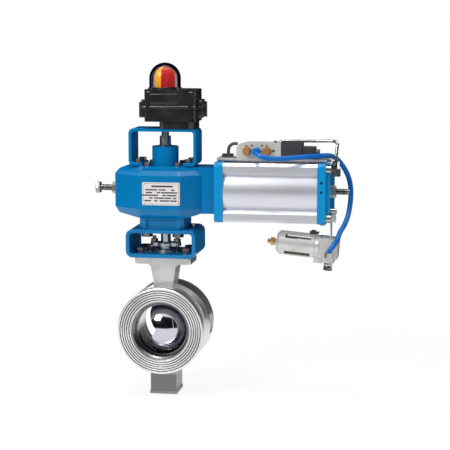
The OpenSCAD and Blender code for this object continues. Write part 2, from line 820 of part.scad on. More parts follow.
module cylinder_tube() {
    color("lightgray") at_stem() translate([tube_x, 0, rod_z]) difference() {
        along_x() linear_extrude(height = tube_l) union() {
            circle(r = end_w / 2 - 0.5, $fn = 128);
            for (a = [0, 90, 180, 270]) {
                rotate(a) corner_ridge();
            }
        }
        translate([-1, 0, 0]) along_x() cylinder(r = cylinder_r, h = tube_l + 2, $fn = 128);
        tie_places() translate([-1, 0, 0]) along_x() cylinder(d = tie_d + 1, h = tube_l + 2);
    }
}

module outer_end_cap() {
    color("dodgerblue") at_stem() translate([cap_x, 0, rod_z]) difference() {
        union() {
            end_square(end_w, outer_cap_t);
            translate([outer_cap_t - eps, 0, 0]) end_square(end_w - 12, cap_step_t + eps);
        }
        translate([-1, 0, 0]) along_x() cylinder(r = stop_r, h = 60);
        tie_places() translate([-1, 0, 0]) along_x() cylinder(d = tie_d, h = 60);
        tie_places() translate([outer_cap_t, 0, 0]) along_x() cylinder(d = tie_head + 1, h = 60);
        for (z = [3, 18]) {
            translate([outer_cap_t / 2, -end_w / 2 - 1, z]) along_y() cylinder(d = 4.5, h = 6);
        }
    }
}

module tie_bolts() {
    color("dimgray") at_stem() translate([0, 0, rod_z]) tie_places() {
        translate([neck_end, 0, 0]) along_x() cylinder(d = tie_d, h = step_x - neck_end);
        translate([step_x, 0, 0]) along_x() cylinder(d = tie_head, h = tie_d);
    }
}

module cylinder_seals() {
    section = 3;
    color("black") at_stem() translate([0, 0, rod_z]) for (x = [tube_x, cap_x - section]) {
        translate([x, 0, 0]) along_x() ring(cylinder_r, cylinder_r - section, section);
    }
}

module piston() {
    groove = 4;
    color("silver") at_stem() translate([piston_x - piston_l / 2, 0, rod_z]) along_x() difference() {
        cylinder(r = cylinder_r - move_gap, h = piston_l);
        translate([0, 0, -1]) cylinder(r = rod_r, h = piston_l - 3);
        for (z = [4, piston_l - 4 - groove]) {
            translate([0, 0, z]) ring(cylinder_r + 1, cylinder_r - 5, groove);
        }
    }
}

module piston_seals() {
    groove = 4;
    color("black") at_stem() translate([piston_x - piston_l / 2, 0, rod_z]) along_x() for (z = [4, piston_l - 4 - groove]) {
        translate([0, 0, z]) ring(cylinder_r - run_gap, cylinder_r - 5, groove);
    }
}

module right_stop_screw() {
    tip = piston_x + piston_l / 2 + half_stroke + 0.5;
    out = cap_end + 27;
    color("silver") at_stem() translate([tip, 0, rod_z]) along_x() difference() {
        cylinder(r = stop_r, h = out - tip);
        translate([-stop_r, -0.8, out - tip - 2.5]) cube([2 * stop_r, 1.6, 5]);
    }
}

// ---------- switch box ----------

module switch_bracket() {
    w = switch_bracket_w;
    t = switch_bracket_wall;
    h = switch_bracket_h;
    color("dodgerblue") at_stem() difference() {
        translate([0, 0, cover_z]) rotate([90, 0, 0]) linear_extrude(height = switch_bracket_d, center = true)
            difference() {
                translate([0, h / 2]) soft_square(w, h, 8);
                translate([0, h / 2]) soft_square(w - 2 * t, h - 2 * t, 4);
                translate([-w / 2 + bracket2_foot, -1]) square([w - 2 * bracket2_foot, t + 2]);
            }
        translate([0, 0, cover_z - 1]) four(foot_bolt_x, foot_bolt_y) cylinder(d = 7, h = t + 2);
        translate([0, 0, bracket2_top - t - 1]) cylinder(r = switch_shaft_r + 4, h = t + 2);
        translate([box_x, 0, bracket2_top - t - 1]) four(20, 16) cylinder(d = 5, h = t + 2);
    }
}

module box_outline(inset) {
    corner_r = 10;
    offset(r = corner_r - inset, $fn = 40) translate([box_x, 0])
        square([box_w - 2 * corner_r, box_d - 2 * corner_r], center = true);
}

module box_lugs(z, h) {
    translate([box_x, 0, z]) linear_extrude(height = h) {
        four(lug_x, lug_y) circle(r = lug_r);
        for (y = [-lug_y, lug_y]) {
            translate([0, y]) square([2 * lug_x, 2 * lug_r], center = true);
        }
    }
}

module switch_base() {
    hub_w = 56;
    color("dimgray") at_stem() difference() {
        union() {
            translate([0, 0, base_z]) linear_extrude(height = base_h) box_outline(0);
            translate([box_x + 10, 0, bracket2_top]) linear_extrude(height = hub_h + eps) soft_square(hub_w, box_d - 8, 8);
            box_lugs(lid_z - lug_below, lug_below);
        }
        translate([0, 0, base_z + box_wall]) linear_extrude(height = base_h) box_outline(box_wall);
        translate([0, 0, bracket2_top - 1]) cylinder(r = switch_shaft_r + run_gap, h = 30);
        translate([box_x + box_w / 2 - 6, -14, base_z + 12]) along_x() cylinder(r = 5, h = 20);
    }
}

module switch_lid() {
    color("dimgray") at_stem() difference() {
        union() {
            translate([0, 0, lid_z]) linear_extrude(height = lid_h) box_outline(0);
            box_lugs(lid_z, lug_above);
            translate([0, 0, lid_top - eps]) ring(dome_r + 1.5, dome_r - dome_wall, dome_seat);
        }
        translate([0, 0, lid_z - 1]) linear_extrude(height = lid_h - box_wall + 1) box_outline(box_wall);
        translate([0, 0, lid_z]) cylinder(r = dome_r - dome_wall, h = lid_h + 10);
    }
}

module lid_screws() {
    color("silver") at_stem() translate([box_x, 0, lid_z + lug_above]) four(lug_x, lug_y)
        cylinder(r = lid_screw_r, h = lid_screw_h);
}

module indicator_dome() {
    color([0.9, 0.9, 0.9, 0.35]) at_stem() translate([0, 0, lid_top + dome_seat]) rotate_extrude($fn = 96) difference() {
        union() {
            translate([0, 0]) square([dome_r, dome_straight]);
            intersection() {
                translate([0, dome_straight]) circle(r = dome_r);
                square([dome_r, dome_r + dome_straight + 1]);
            }
        }
        translate([-1, -1]) square([dome_r - dome_wall + 1, dome_straight + 1]);
        intersection() {
            translate([0, dome_straight]) circle(r = dome_r - dome_wall);
            translate([-dome_r, 0]) square([2 * dome_r, dome_r + dome_straight + 1]);
        }
    }
}

module indicator_drum() {
    color("red") at_stem() translate([0, 0, lid_top + drum_lift]) rotate_extrude() difference() {
        union() {
            square([drum_r, drum_straight]);
            intersection() {
                translate([0, drum_straight]) circle(r = drum_r);
                square([drum_r, drum_r + drum_straight + 1]);
            }
        }
        translate([-1, -1]) square([switch_shaft_r + 1, drum_bore + 1]);
    }
}

module switch_shaft() {
    cam_r = 11;
    color("silver") at_stem() {
        translate([0, 0, stub_top - 8]) cylinder(r = switch_shaft_r, h = lid_top + drum_lift + drum_bore - stub_top + 8);
        for (z = [base_z + 9, base_z + 19]) {
            translate([0, 0, z]) cylinder(r = cam_r, h = 6);
        }
    }
}

module proximity_sensors() {
    color("goldenrod") at_stem() for (y = [-14, 2]) {
        translate([22, y, base_z + box_wall]) cube([22, 12, 28]);
    }
}

// ---------- air supply ----------

module solenoid_plate() {
    spacer_h = plate_gap;
    top = rod_z + end_w / 2;
    color("gainsboro") at_stem() {
        translate([neck_end + 1, -26, plate2_z]) cube([step_x - neck_end - 2, 44, plate2_t]);
        for (x = [neck_end + 1, cap_x + 1]) {
            translate([x, -20, top]) cube([11, 32, spacer_h]);
        }
    }
}

module solenoid_body() {
    cut = 8;
    spool_r = 5;
    color("lightgray") at_stem() difference() {
        translate([valve_x, valve_y + valve_d / 2, valve_z]) rotate([90, 0, 0]) linear_extrude(height = valve_d)
            polygon([[0, 0], [valve_l, 0], [valve_l, valve_h], [cut * 2, valve_h], [cut / 2, valve_h - 3], [0, valve_h - cut]]);
        translate([valve_x + 8, valve_y, valve_z + valve_h / 2]) along_x() cylinder(r = spool_r, h = valve_l);
        for (i = [-1, 0, 1]) {
            translate([port_mid + i * port_pitch, valve_front - 1, port_z]) along_y() cylinder(r = 4, h = 6);
        }
        for (x = [8.5, 41, 66]) {
            translate([valve_x + x + 7, valve_front - 1, port_z + 8]) along_y() cylinder(r = 1.6, h = 4);
        }
        translate([button_x, button_y, valve_z + valve_h - button_pocket]) cylinder(r = button_r + move_gap, h = button_pocket + 1);
    }
}

module valve_spool() {
    spool_r = 5;
    color("silver") at_stem() translate([valve_x + 12, valve_y, valve_z + valve_h / 2]) along_x() difference() {
        cylinder(r = spool_r - run_gap, h = valve_l - 16);
        for (z = [8, 24, 40]) {
            translate([0, 0, z]) ring(spool_r + 1, 3, 8);
        }
    }
}

module override_button() {
    button_h = 3.6;
    color("black") at_stem() translate([button_x, button_y, valve_z + valve_h - button_in]) cylinder(r = button_r, h = button_h);
}

module solenoid_coil() {
    color("dimgray") at_stem() translate([coil_x, valve_y - valve_d / 2 + 1, valve_z + 1]) difference() {
        cube([coil_l, valve_d - 2, valve_h + 1]);
        translate([-1, valve_d / 2 - 1, valve_h / 2 - 1]) along_x() cylinder(r = 5, h = 4);
    }
}

module din_connector() {
    color("dimgray") at_stem() {
        translate([din_x, valve_y - din_w / 2, valve_z + 1]) cube([din_l - 6, din_w, 18]);
        translate([din_x + din_l - 6, valve_y, valve_z + 8]) along_x() cylinder(r = 7, h = 6);
    }
}

module exhaust_silencers() {
    color("darkgoldenrod") at_stem() for (i = [-1, 1]) {
        translate([port_mid + i * port_pitch, valve_front, port_z]) along_y() {
            translate([0, 0, -2.5]) cylinder(r = 6.8, h = 2.5);
            translate([0, 0, -10]) cylinder(r1 = 5.2, r2 = 6.4, h = 7.6);
            cylinder(r = 4, h = 4);
        }
    }
}

// A push-in fitting that points up from z = 0, open for a hose at its end
module push_in_fitting(l) {
    collar = 3;
    difference() {
        union() {
            cylinder(r = fitting_r, h = l - collar);
            translate([0, 0, l - collar - eps]) cylinder(r = fitting_r - 1, h = collar + eps);
        }
        translate([0, 0, l - fitting_bore]) cylinder(r = hose_r + run_gap, h = fitting_bore + 1);
    }
}

module hose_elbow() {
    plug = 6;
    translate([head_port_x, -head_front, head_port_z]) rotate([90, 0, 0]) cylinder(r = elbow_r, h = elbow_out);
    translate([head_port_x, -head_front + plug, head_port_z]) rotate([90, 0, 0]) cylinder(r = elbow_r - 1.5, h = plug + eps);
    translate([head_port_x, -head_front - elbow_out, head_port_z]) sphere(r = elbow_r, $fn = 32);
}

module air_fittings() {
    plug_z = -27;
    elbow_z = end_w / 2 - 16;
    color("silver") at_stem() {
        translate([port_mid, valve_front, port_z]) rotate([90, 0, 0]) push_in_fitting(fitting_l);
        translate([cap_end, valve_rear - 10.5, rod_z + elbow_z]) {
            translate([0, -6, -6]) cube([13, 12, 12]);
            translate([6, 0, 6 - eps]) hex_head(10, 11);
        }
        translate([cap_end, -tie_offset + 9, rod_z + plug_z]) along_x() cylinder(r = 4.2, h = 10);
        translate([cap_x + 6, -20, rod_z - end_w / 2 - 4]) cylinder(r = 4, h = 4);
        translate([neck_end + 8, valve_y - 6, valve_z]) cube([17, 12, block_h]);
        translate([pilot_route[5][0], pilot_route[5][1], valve_z + block_h - eps])
            cylinder(r = 3, h = pilot_route[5][2] - valve_z - block_h + eps);
    }
    color("silver") at_filter() {
        difference() {
            union() {
                hose_elbow();
                translate([head_port_x, -head_front - elbow_out, head_port_z]) cylinder(r = elbow_r, h = elbow_up);
            }
            translate([head_port_x, -head_front - elbow_out, mouth_z]) rotate([0, -filter_tilt, 0])
                cylinder(r = hose_r + move_gap, h = elbow_up + 2);
        }
        translate([supply_x, 0, supply_z]) mirror([0, 0, 1]) push_in_fitting(fitting_l);
    }
}

module air_pipe() {
    color("silver") at_stem() swept_tube(smooth_route(pipe_route, 2), pipe_r, 8);
}

module pilot_hose() {
    color("black") at_stem() swept_tube(smooth_route(pilot_route, 2), 2.5, 8);
}

module air_hose() {
    color("royalblue") at_stem() swept_tube(smooth_route(hose_route, 2), hose_r, 10);
}

// The filter lies along X, its bowl towards the valve and its head under the outer cap
module at_filter() {
    at_stem() translate([filter_x, filter_y, filter_z]) rotate([0, filter_tilt, 0]) children();
}

module filter_bracket() {
    leaf_w = 18;
    leaf_t = 2;
    top = rod_z - end_w / 2 + 14;
    bottom = filter_z + head_top + 0.2;
    color("gainsboro") at_stem() {
        translate([cap_end, filter_y - leaf_w / 2, bottom]) cube([leaf_t, leaf_w, top - bottom]);
        translate([cap_end + leaf_t, filter_y, top - 7]) along_x() hex_head(10, 6);
    }
    color("gainsboro") at_filter() translate([-10, -leaf_w / 2, head_top]) cube([17, leaf_w, 1.3]);
}

module filter_head() {
    collar_r = guard_d / 2 - 1;
    back_port_r = 6.6;
    color("lightgray") at_filter() difference() {
        union() {
            translate([-head_l / 2 + 3, -head_front, -head_top + 1]) cube([head_l - 3, 2 * head_front, 2 * head_top - 1]);
            translate([-head_l / 2 - 3, 0, 0]) along_x() cylinder(r = collar_r, h = 8);
            translate([-6, -head_front, supply_z]) cube([18, 2 * head_front, 10]);
            translate([-head_l / 2 - 3, -8, supply_z - 3]) cube([14, 16, 12]);
        }
        translate([-head_l, 0, 0]) along_x() cylinder(r = guard_d / 2 - 4, h = head_l - 8);
        translate([head_port_x, -head_front - 1, head_port_z]) along_y() cylinder(r = elbow_r - 1.5, h = 7);
        translate([2, head_front + 1, -2]) rotate([90, 0, 0]) cylinder(r = back_port_r, h = 14);
    }
}

module bowl_guard() {
    r = guard_d / 2;
    wall = 1.6;
    slot_w = 8;
    color("lightgray") at_filter() translate([-head_l / 2 - 3, 0, 0]) rotate([0, -90, 0]) difference() {
        union() {
            cylinder(r = r, h = guard_l - 7);
            translate([0, 0, guard_l - 7]) cylinder(r1 = r, r2 = r - 5, h = 5);
        }
        translate([0, 0, -1]) cylinder(r = r - wall, h = guard_l - 8);
        cylinder(r = 6, h = guard_l + 10);
        for (a = [-45, 45, 135, 225]) {
            rotate(a) translate([r - 6, -slot_w / 2, 6]) cube([12, slot_w, guard_l - 22]);
        }
    }
}

module filter_bowl() {
    r = guard_d / 2 - 2;
    color([0.85, 0.88, 0.9, 0.6]) at_filter() translate([-head_l / 2 - 3, 0, 0]) rotate([0, -90, 0]) difference() {
        union() {
            translate([0, 0, 0.3]) cylinder(r = r, h = guard_l - 9.6);
            cylinder(r = 5.6, h = guard_l - 2);
        }
        translate([0, 0, -1]) cylinder(r = r - 2, h = guard_l - 10.4);
        cylinder(r = 3, h = guard_l + 10);
    }
}

module filter_element() {
    color("white") at_filter() translate([-head_l / 2 - 3, 0, 0]) rotate([0, -90, 0]) ring(10, 7, 28);
}

module drain_cock() {
    color("darkgoldenrod") at_filter() translate([-head_l / 2 - 1 - guard_l, 0, 0]) rotate([0, -90, 0]) {
        cylinder(r = 4.5, h = 4);
        translate([0, 0, 4 - eps]) cylinder(r = 6.5, h = 6, $fn = 8);
        translate([0, 0, 10 - 2 * eps]) cylinder(r = 3.5, h = 5);
    }
}

module guard_latch() {
    color("black") at_filter() translate([-head_l / 2 - 13, -4, guard_d / 2 + 0.4]) {
        cube([14, 8, 3.4]);
        translate([3, 1, 3.4 - eps]) cube([6, 6, 2]);
    }
}

valve_body();
seat_ring();
seat_retainer();
stem_bearings();
packing_rings();
gland_follower();
gland_flange();
gland_studs();
bottom_cover();
v_ball();
valve_stem();
lower_trunnion();
mounting_bracket();
bracket_bolts();
housing();
housing_cover();
cover_bolts();
bronze_bushes();
drive_shaft();
yoke();
slide_block();
yoke_rollers();
piston_rod();
left_stop_screw();
stop_lock_nuts();
nameplate();
inner_end_plate();
cylinder_tube();
outer_end_cap();
tie_bolts();
cylinder_seals();
piston();
piston_seals();
right_stop_screw();
switch_bracket();
switch_base();
switch_lid();
lid_screws();
indicator_dome();
indicator_drum();
switch_shaft();
proximity_sensors();
solenoid_plate();
solenoid_body();
solenoid_coil();
din_connector();
exhaust_silencers();
air_fittings();
valve_spool();
override_button();
air_pipe();
pilot_hose();
filter_bracket();
filter_head();
filter_bowl();
bowl_guard();
filter_element();
drain_cock();
guard_latch();
air_hose();
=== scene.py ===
# %% [markdown]
# # A pneumatic control valve, dressed in Blender
# The construction of the valve comes in as a fixed frame: every casting, bolt and hose already has its
# real size and place. This script gives each of them its finish, and models the few pieces whose shape
# is finer than the construction holds. All lengths are metres; the origin is the middle of the inlet
# face, +Y runs with the flow, +Z up the stem and +X towards the air cylinder.

# %% Load the frame
import math

import bmesh
import bpy
from mathutils import Matrix, Vector


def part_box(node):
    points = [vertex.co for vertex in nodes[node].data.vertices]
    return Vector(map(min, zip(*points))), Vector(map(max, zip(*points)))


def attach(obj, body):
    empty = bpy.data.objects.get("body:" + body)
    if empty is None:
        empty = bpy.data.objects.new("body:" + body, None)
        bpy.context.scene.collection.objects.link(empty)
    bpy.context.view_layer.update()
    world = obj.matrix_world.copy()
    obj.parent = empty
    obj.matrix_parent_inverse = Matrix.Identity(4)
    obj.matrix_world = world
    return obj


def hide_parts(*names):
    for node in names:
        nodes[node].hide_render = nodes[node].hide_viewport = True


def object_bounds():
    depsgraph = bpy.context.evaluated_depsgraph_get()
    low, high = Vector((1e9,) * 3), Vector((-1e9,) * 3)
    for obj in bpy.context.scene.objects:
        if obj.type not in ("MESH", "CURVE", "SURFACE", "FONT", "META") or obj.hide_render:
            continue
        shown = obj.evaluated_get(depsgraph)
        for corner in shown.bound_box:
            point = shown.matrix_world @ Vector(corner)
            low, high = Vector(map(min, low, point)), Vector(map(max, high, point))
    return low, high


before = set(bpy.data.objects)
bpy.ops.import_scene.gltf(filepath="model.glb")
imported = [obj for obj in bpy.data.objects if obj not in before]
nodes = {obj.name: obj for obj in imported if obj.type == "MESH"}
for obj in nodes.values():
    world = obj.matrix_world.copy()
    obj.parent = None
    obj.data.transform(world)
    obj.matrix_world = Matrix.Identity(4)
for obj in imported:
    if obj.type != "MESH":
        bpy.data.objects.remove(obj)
cad_low, cad_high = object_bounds()
print("pieces in the frame:", len(nodes), "box", [round(v, 4) for v in cad_high - cad_low])

# %% [markdown]
# ## Camera, floor and light
# The valve is shown like a catalogue product: from slightly to the right and slightly above, with
# a long lens, on white. A long lens keeps the two round faces of the valve nearly the same size.
# The floor is white to the camera only, so that it costs the metal no contrast.

# %% Camera
AIM = Vector((0.0895, 0.0877, 0.1600))
CAMERA_DISTANCE = 2.42
CAMERA_AZIMUTH = math.radians(9.6)
CAMERA_ELEVATION = math.radians(7.9)

scene = bpy.context.scene
scene.view_settings.view_transform = "Standard"
camera_data = bpy.data.cameras.new("camera")
camera_data.lens = 120
camera_data.sensor_width = 36
camera_data.clip_end = 50
camera = bpy.data.objects.new("camera", camera_data)
scene.collection.objects.link(camera)
away = Vector((
    math.sin(CAMERA_AZIMUTH) * math.cos(CAMERA_ELEVATION),
    -math.cos(CAMERA_AZIMUTH) * math.cos(CAMERA_ELEVATION),
    math.sin(CAMERA_ELEVATION),
))
camera.location = AIM + away * CAMERA_DISTANCE
camera.rotation_euler = away.to_track_quat("Z", "Y").to_euler()
scene.camera = camera
print("camera at", [round(v, 3) for v in camera.location])


# %% Rays that should see white
def seen_rays(tree):
    """Returns a factor that is 1 for camera, glossy and transmission rays."""
    path = tree.nodes.new("ShaderNodeLightPath")
    first = tree.nodes.new("ShaderNodeMath")
    first.operation = "MAXIMUM"
    tree.links.new(path.outputs["Is Camera Ray"], first.inputs[0])
    tree.links.new(path.outputs["Is Glossy Ray"], first.inputs[1])
    second = tree.nodes.new("ShaderNodeMath")
    second.operation = "MAXIMUM"
    tree.links.new(first.outputs[0], second.inputs[0])
    tree.links.new(path.outputs["Is Transmission Ray"], second.inputs[1])
    return second.outputs[0]


# %% World
WORLD_FILL = 0.42

world = bpy.data.worlds.new("studio")
scene.world = world
world.use_nodes = True
tree = world.node_tree
tree.nodes.clear()
out = tree.nodes.new("ShaderNodeOutputWorld")
seen = tree.nodes.new("ShaderNodeBackground")
seen.inputs["Color"].default_value = (1, 1, 1, 1)
fill = tree.nodes.new("ShaderNodeBackground")
fill.inputs["Color"].default_value = (0.95, 0.97, 1, 1)
fill.inputs["Strength"].default_value = WORLD_FILL
mix = tree.nodes.new("ShaderNodeMixShader")
tree.links.new(seen_rays(tree), mix.inputs[0])
tree.links.new(fill.outputs[0], mix.inputs[1])
tree.links.new(seen.outputs[0], mix.inputs[2])
tree.links.new(mix.outputs[0], out.inputs["Surface"])
print("world fill", WORLD_FILL)

# %% Floor
FLOOR_SIZE = 12.0
FLOOR_Z = cad_low[2] - 0.001
SHADOW_REACH = (0.3, 0.9)

floor_material = bpy.data.materials.new("white_floor")
floor_material.use_nodes = True
tree = floor_material.node_tree
tree.nodes.clear()
out = tree.nodes.new("ShaderNodeOutputMaterial")
paper = tree.nodes.new("ShaderNodeBsdfDiffuse")
paper.inputs["Color"].default_value = (0.9, 0.9, 0.9, 1)
glow = tree.nodes.new("ShaderNodeEmission")
coords = tree.nodes.new("ShaderNodeTexCoord")
distance = tree.nodes.new("ShaderNodeVectorMath")
distance.operation = "LENGTH"
tree.links.new(coords.outputs["Object"], distance.inputs[0])
reach = tree.nodes.new("ShaderNodeMapRange")
for label, value in (
    ("From Min", SHADOW_REACH[0]),
    ("From Max", SHADOW_REACH[1]),
    ("To Min", 0.88),
    ("To Max", 1.0),
):
    reach.inputs[label].default_value = value
tree.links.new(distance.outputs["Value"], reach.inputs["Value"])
mix = tree.nodes.new("ShaderNodeMixShader")
tree.links.new(reach.outputs["Result"], mix.inputs[0])
tree.links.new(paper.outputs[0], mix.inputs[1])
tree.links.new(glow.outputs[0], mix.inputs[2])
switch = tree.nodes.new("ShaderNodeMixShader")
tree.links.new(seen_rays(tree), switch.inputs[0])
tree.links.new(paper.outputs[0], switch.inputs[1])
tree.links.new(mix.outputs[0], switch.inputs[2])
tree.links.new(switch.outputs[0], out.inputs["Surface"])


def stage_plane(name, material, width, height, turn=None, move=(0, 0, 0)):
    """A flat sheet that belongs to the studio and not to the valve."""
    sheet = bmesh.new()
    bmesh.ops.create_grid(sheet, x_segments=1, y_segments=1, size=0.5)
    bmesh.ops.scale(sheet, vec=(width, height, 1), verts=sheet.verts)
    if turn is not None:
        bmesh.ops.transform(sheet, matrix=turn, verts=sheet.verts)
    bmesh.ops.translate(sheet, verts=sheet.verts, vec=move)
    data = bpy.data.meshes.new(name)
    sheet.to_mesh(data)
    sheet.free()
    plane = bpy.data.objects.new(name, data)
    data.materials.append(material)
    scene.collection.objects.link(plane)
    return plane


stage_plane("floor", floor_material, FLOOR_SIZE, FLOOR_SIZE, move=(0, 0, FLOOR_Z))
print("floor at", round(FLOOR_Z, 4))

# %% [markdown]
# Polished metal shows the room more than itself. On a table in a dark room it gets the strong dark
# bands that make it read as metal, so black flags stand round it. Only reflections
# see them: the camera looks through them and they cast no shadow.

# %% Black flags for the reflections
FLAG_HEIGHT = 2.4

flag_material = bpy.data.materials.new("black_flag")
flag_material.use_nodes = True
flag_shader = flag_material.node_tree.nodes["Principled BSDF"]
flag_shader.inputs["Base Color"].default_value = (0.012, 0.012, 0.014, 1)
flag_shader.inputs["Specular IOR Level"].default_value = 0.0
upright = Matrix.Rotation(math.pi / 2, 4, "X")
sideways = Matrix.Rotation(math.pi / 2, 4, "Z") @ upright
for name, width, turn, x, y in (
    ("flag_front", 3.6, upright, 0.0, -2.1),
    ("flag_left", 2.3, sideways, -1.7, -0.95),
    ("flag_right", 2.3, sideways, 1.9, -0.95),
    ("flag_back", 3.2, upright, -0.2, 0.7),
):
    spot = (x, y, cad_low[2] + FLAG_HEIGHT / 2)
    flag = stage_plane(name, flag_material, width, FLAG_HEIGHT, turn, spot)
    flag.visible_camera = False
    flag.visible_diffuse = False
    flag.visible_transmission = False
    flag.visible_shadow = False


# %% Lamps
LAMP_AIM = Vector((0.08, 0.05, 0.16))


def area_lamp(name, place, size, power):
    """A rectangular lamp that is turned towards the middle of the valve."""
    data = bpy.data.lights.new(name, "AREA")
    data.shape = "RECTANGLE"
    data.size, data.size_y = size
    data.energy = power
    lamp = bpy.data.objects.new(name, data)
    lamp.location = place
    lamp.rotation_euler = (Vector(place) - LAMP_AIM).to_track_quat("Z", "Y").to_euler()
    scene.collection.objects.link(lamp)
    return lamp


area_lamp("key", (-1.0, -1.5, 1.5), (0.9, 0.9), 33)
area_lamp("front_strip", (0.9, -1.8, 0.9), (0.35, 1.4), 5).visible_glossy = False
area_lamp("bar", (-0.1, -0.35, 2.2), (0.7, 0.14), 8)
area_lamp("top", (0.1, 0.1, 1.9), (1.6, 1.2), 16)
area_lamp("rim", (1.6, 0.9, 0.7), (0.5, 1.4), 4)

# %% [markdown]
# ## Shared surface effects
# Real finishes are never even. Two effects come back on nearly every piece of this valve, so each is a
# node group that is built once: `uneven_finish` gives patches of slightly lighter and darker colour and
# a roughness that changes with them, and `fine_grain` gives the small bumps of a casting, of enamel
# (orange peel) or of blasted steel. Both read Object coordinates, so they stick to the piece.


# %% Node group helper
def new_group(name, inputs, outputs):
    """A shader node group with sockets given as (name, kind, default)."""
    group = bpy.data.node_groups.new(name, "ShaderNodeTree")
    for label, kind, default in inputs:
        socket = group.interface.new_socket(label, in_out="INPUT", socket_type=kind)
        if default is not None:
            socket.default_value = default
    for label, kind in outputs:
        group.interface.new_socket(label, in_out="OUTPUT", socket_type=kind)
    return group, group.nodes.new("NodeGroupInput"), group.nodes.new("NodeGroupOutput")


def math_node(tree, operation, a, b, clamp=False):
    """A Math node whose inputs are sockets or numbers."""
    node = tree.nodes.new("ShaderNodeMath")
    node.operation = operation
    node.use_clamp = clamp
    for slot, value in zip(node.inputs, (a, b)):
        if isinstance(value, bpy.types.NodeSocket):
            tree.links.new(value, slot)
        else:
            slot.default_value = value
    return node.outputs[0]


def noise_node(tree, vector, scale, detail=3.0, rough=0.55):
    node = tree.nodes.new("ShaderNodeTexNoise")
    node.inputs["Detail"].default_value = detail
    node.inputs["Roughness"].default_value = rough
    if isinstance(scale, bpy.types.NodeSocket):
        tree.links.new(scale, node.inputs["Scale"])
    else:
        node.inputs["Scale"].default_value = scale
    tree.links.new(vector, node.inputs["Vector"])
    return node.outputs["Fac"]


def mix_color(tree, factor, a, b):
    """Mixes two colours; each may be a socket or four numbers."""
    node = tree.nodes.new("ShaderNodeMix")
    node.data_type = "RGBA"
    for slot, value in ((node.inputs[0], factor), (node.inputs[6], a), (node.inputs[7], b)):
        if isinstance(value, bpy.types.NodeSocket):
            tree.links.new(value, slot)
        else:
            slot.default_value = value
    return node.outputs[2]


# %% The uneven finish
uneven, group_in, group_out = new_group(
    "uneven_finish",
    [
        ("Vector", "NodeSocketVector", None),
        ("Color", "NodeSocketColor", (0.5, 0.5, 0.5, 1)),
        ("Shade", "NodeSocketColor", (0.3, 0.3, 0.3, 1)),
        ("Amount", "NodeSocketFloat", 0.5),
        ("Scale", "NodeSocketFloat", 20.0),
        ("Roughness", "NodeSocketFloat", 0.4),
        ("Roughness Change", "NodeSocketFloat", 0.1),
    ],
    [("Color", "NodeSocketColor"), ("Roughness", "NodeSocketFloat")],
)
patches = noise_node(uneven, group_in.outputs["Vector"], group_in.outputs["Scale"], 5.0, 0.6)
spread = math_node(uneven, "MULTIPLY", math_node(uneven, "SUBTRACT", patches, 0.42), 3.2, clamp=True)
amount = math_node(uneven, "MULTIPLY", spread, group_in.outputs["Amount"])
tinted = mix_color(uneven, amount, group_in.outputs["Color"], group_in.outputs["Shade"])
uneven.links.new(tinted, group_out.inputs["Color"])
change = math_node(uneven, "MULTIPLY", spread, group_in.outputs["Roughness Change"])
rough = math_node(uneven, "ADD", group_in.outputs["Roughness"], change)
uneven.links.new(rough, group_out.inputs["Roughness"])

# %% The fine grain
grain, group_in, group_out = new_group(
    "fine_grain",
    [
        ("Vector", "NodeSocketVector", None),
        ("Scale", "NodeSocketFloat", 900.0),
        ("Coarse", "NodeSocketFloat", 0.4),
    ],
    [("Height", "NodeSocketFloat")],
)
small = noise_node(grain, group_in.outputs["Vector"], group_in.outputs["Scale"], 2.0)
wide = math_node(grain, "MULTIPLY", group_in.outputs["Scale"], 0.12)
large = noise_node(grain, group_in.outputs["Vector"], wide, 3.0)
weighted = math_node(grain, "MULTIPLY", large, group_in.outputs["Coarse"])
grain.links.new(math_node(grain, "ADD", small, weighted), group_out.inputs["Height"])
print("groups:", [g.name for g in bpy.data.node_groups])

# %% [markdown]
# ## A finish from a short description
# Most pieces are one of three families: enamel, bare metal or plastic. They differ in numbers, so one
# function builds the material and the rest of the cell reads like a paint list. Constant values go
# straight onto the Principled BSDF; only colour, roughness and normal arrive through links.


# %% Finish builder
def finish(name, color, shade, rough, metallic=0.0, patch=30.0, amount=0.5, change=0.1,
           grain_scale=900.0, coarse=0.4, bump=0.2, bump_mm=0.05, specular=0.5):
    """A Principled material with uneven colour, uneven roughness and a fine bump."""
    material = bpy.data.materials.new(name)
    material.use_nodes = True
    tree = material.node_tree
    shader = tree.nodes["Principled BSDF"]
    shader.inputs["Metallic"].default_value = metallic
    shader.inputs["Specular IOR Level"].default_value = specular
    place = tree.nodes.new("ShaderNodeTexCoord")
    surface = tree.nodes.new("ShaderNodeGroup")
    surface.name = "surface"
    surface.node_tree = uneven
    surface.inputs["Color"].default_value = (*color, 1)
    surface.inputs["Shade"].default_value = (*shade, 1)
    surface.inputs["Amount"].default_value = amount
    surface.inputs["Scale"].default_value = patch
    surface.inputs["Roughness"].default_value = rough
    surface.inputs["Roughness Change"].default_value = change
    tree.links.new(place.outputs["Object"], surface.inputs["Vector"])
    tree.links.new(surface.outputs["Color"], shader.inputs["Base Color"])
    tree.links.new(surface.outputs["Roughness"], shader.inputs["Roughness"])
    texture = tree.nodes.new("ShaderNodeGroup")
    texture.node_tree = grain
    texture.inputs["Scale"].default_value = grain_scale
    texture.inputs["Coarse"].default_value = coarse
    tree.links.new(place.outputs["Object"], texture.inputs["Vector"])
    relief = tree.nodes.new("ShaderNodeBump")
    relief.inputs["Strength"].default_value = bump
    relief.inputs["Distance"].default_value = bump_mm / 1000
    tree.links.new(texture.outputs["Height"], relief.inputs["Height"])
    tree.links.new(relief.outputs["Normal"], shader.inputs["Normal"])
    return material


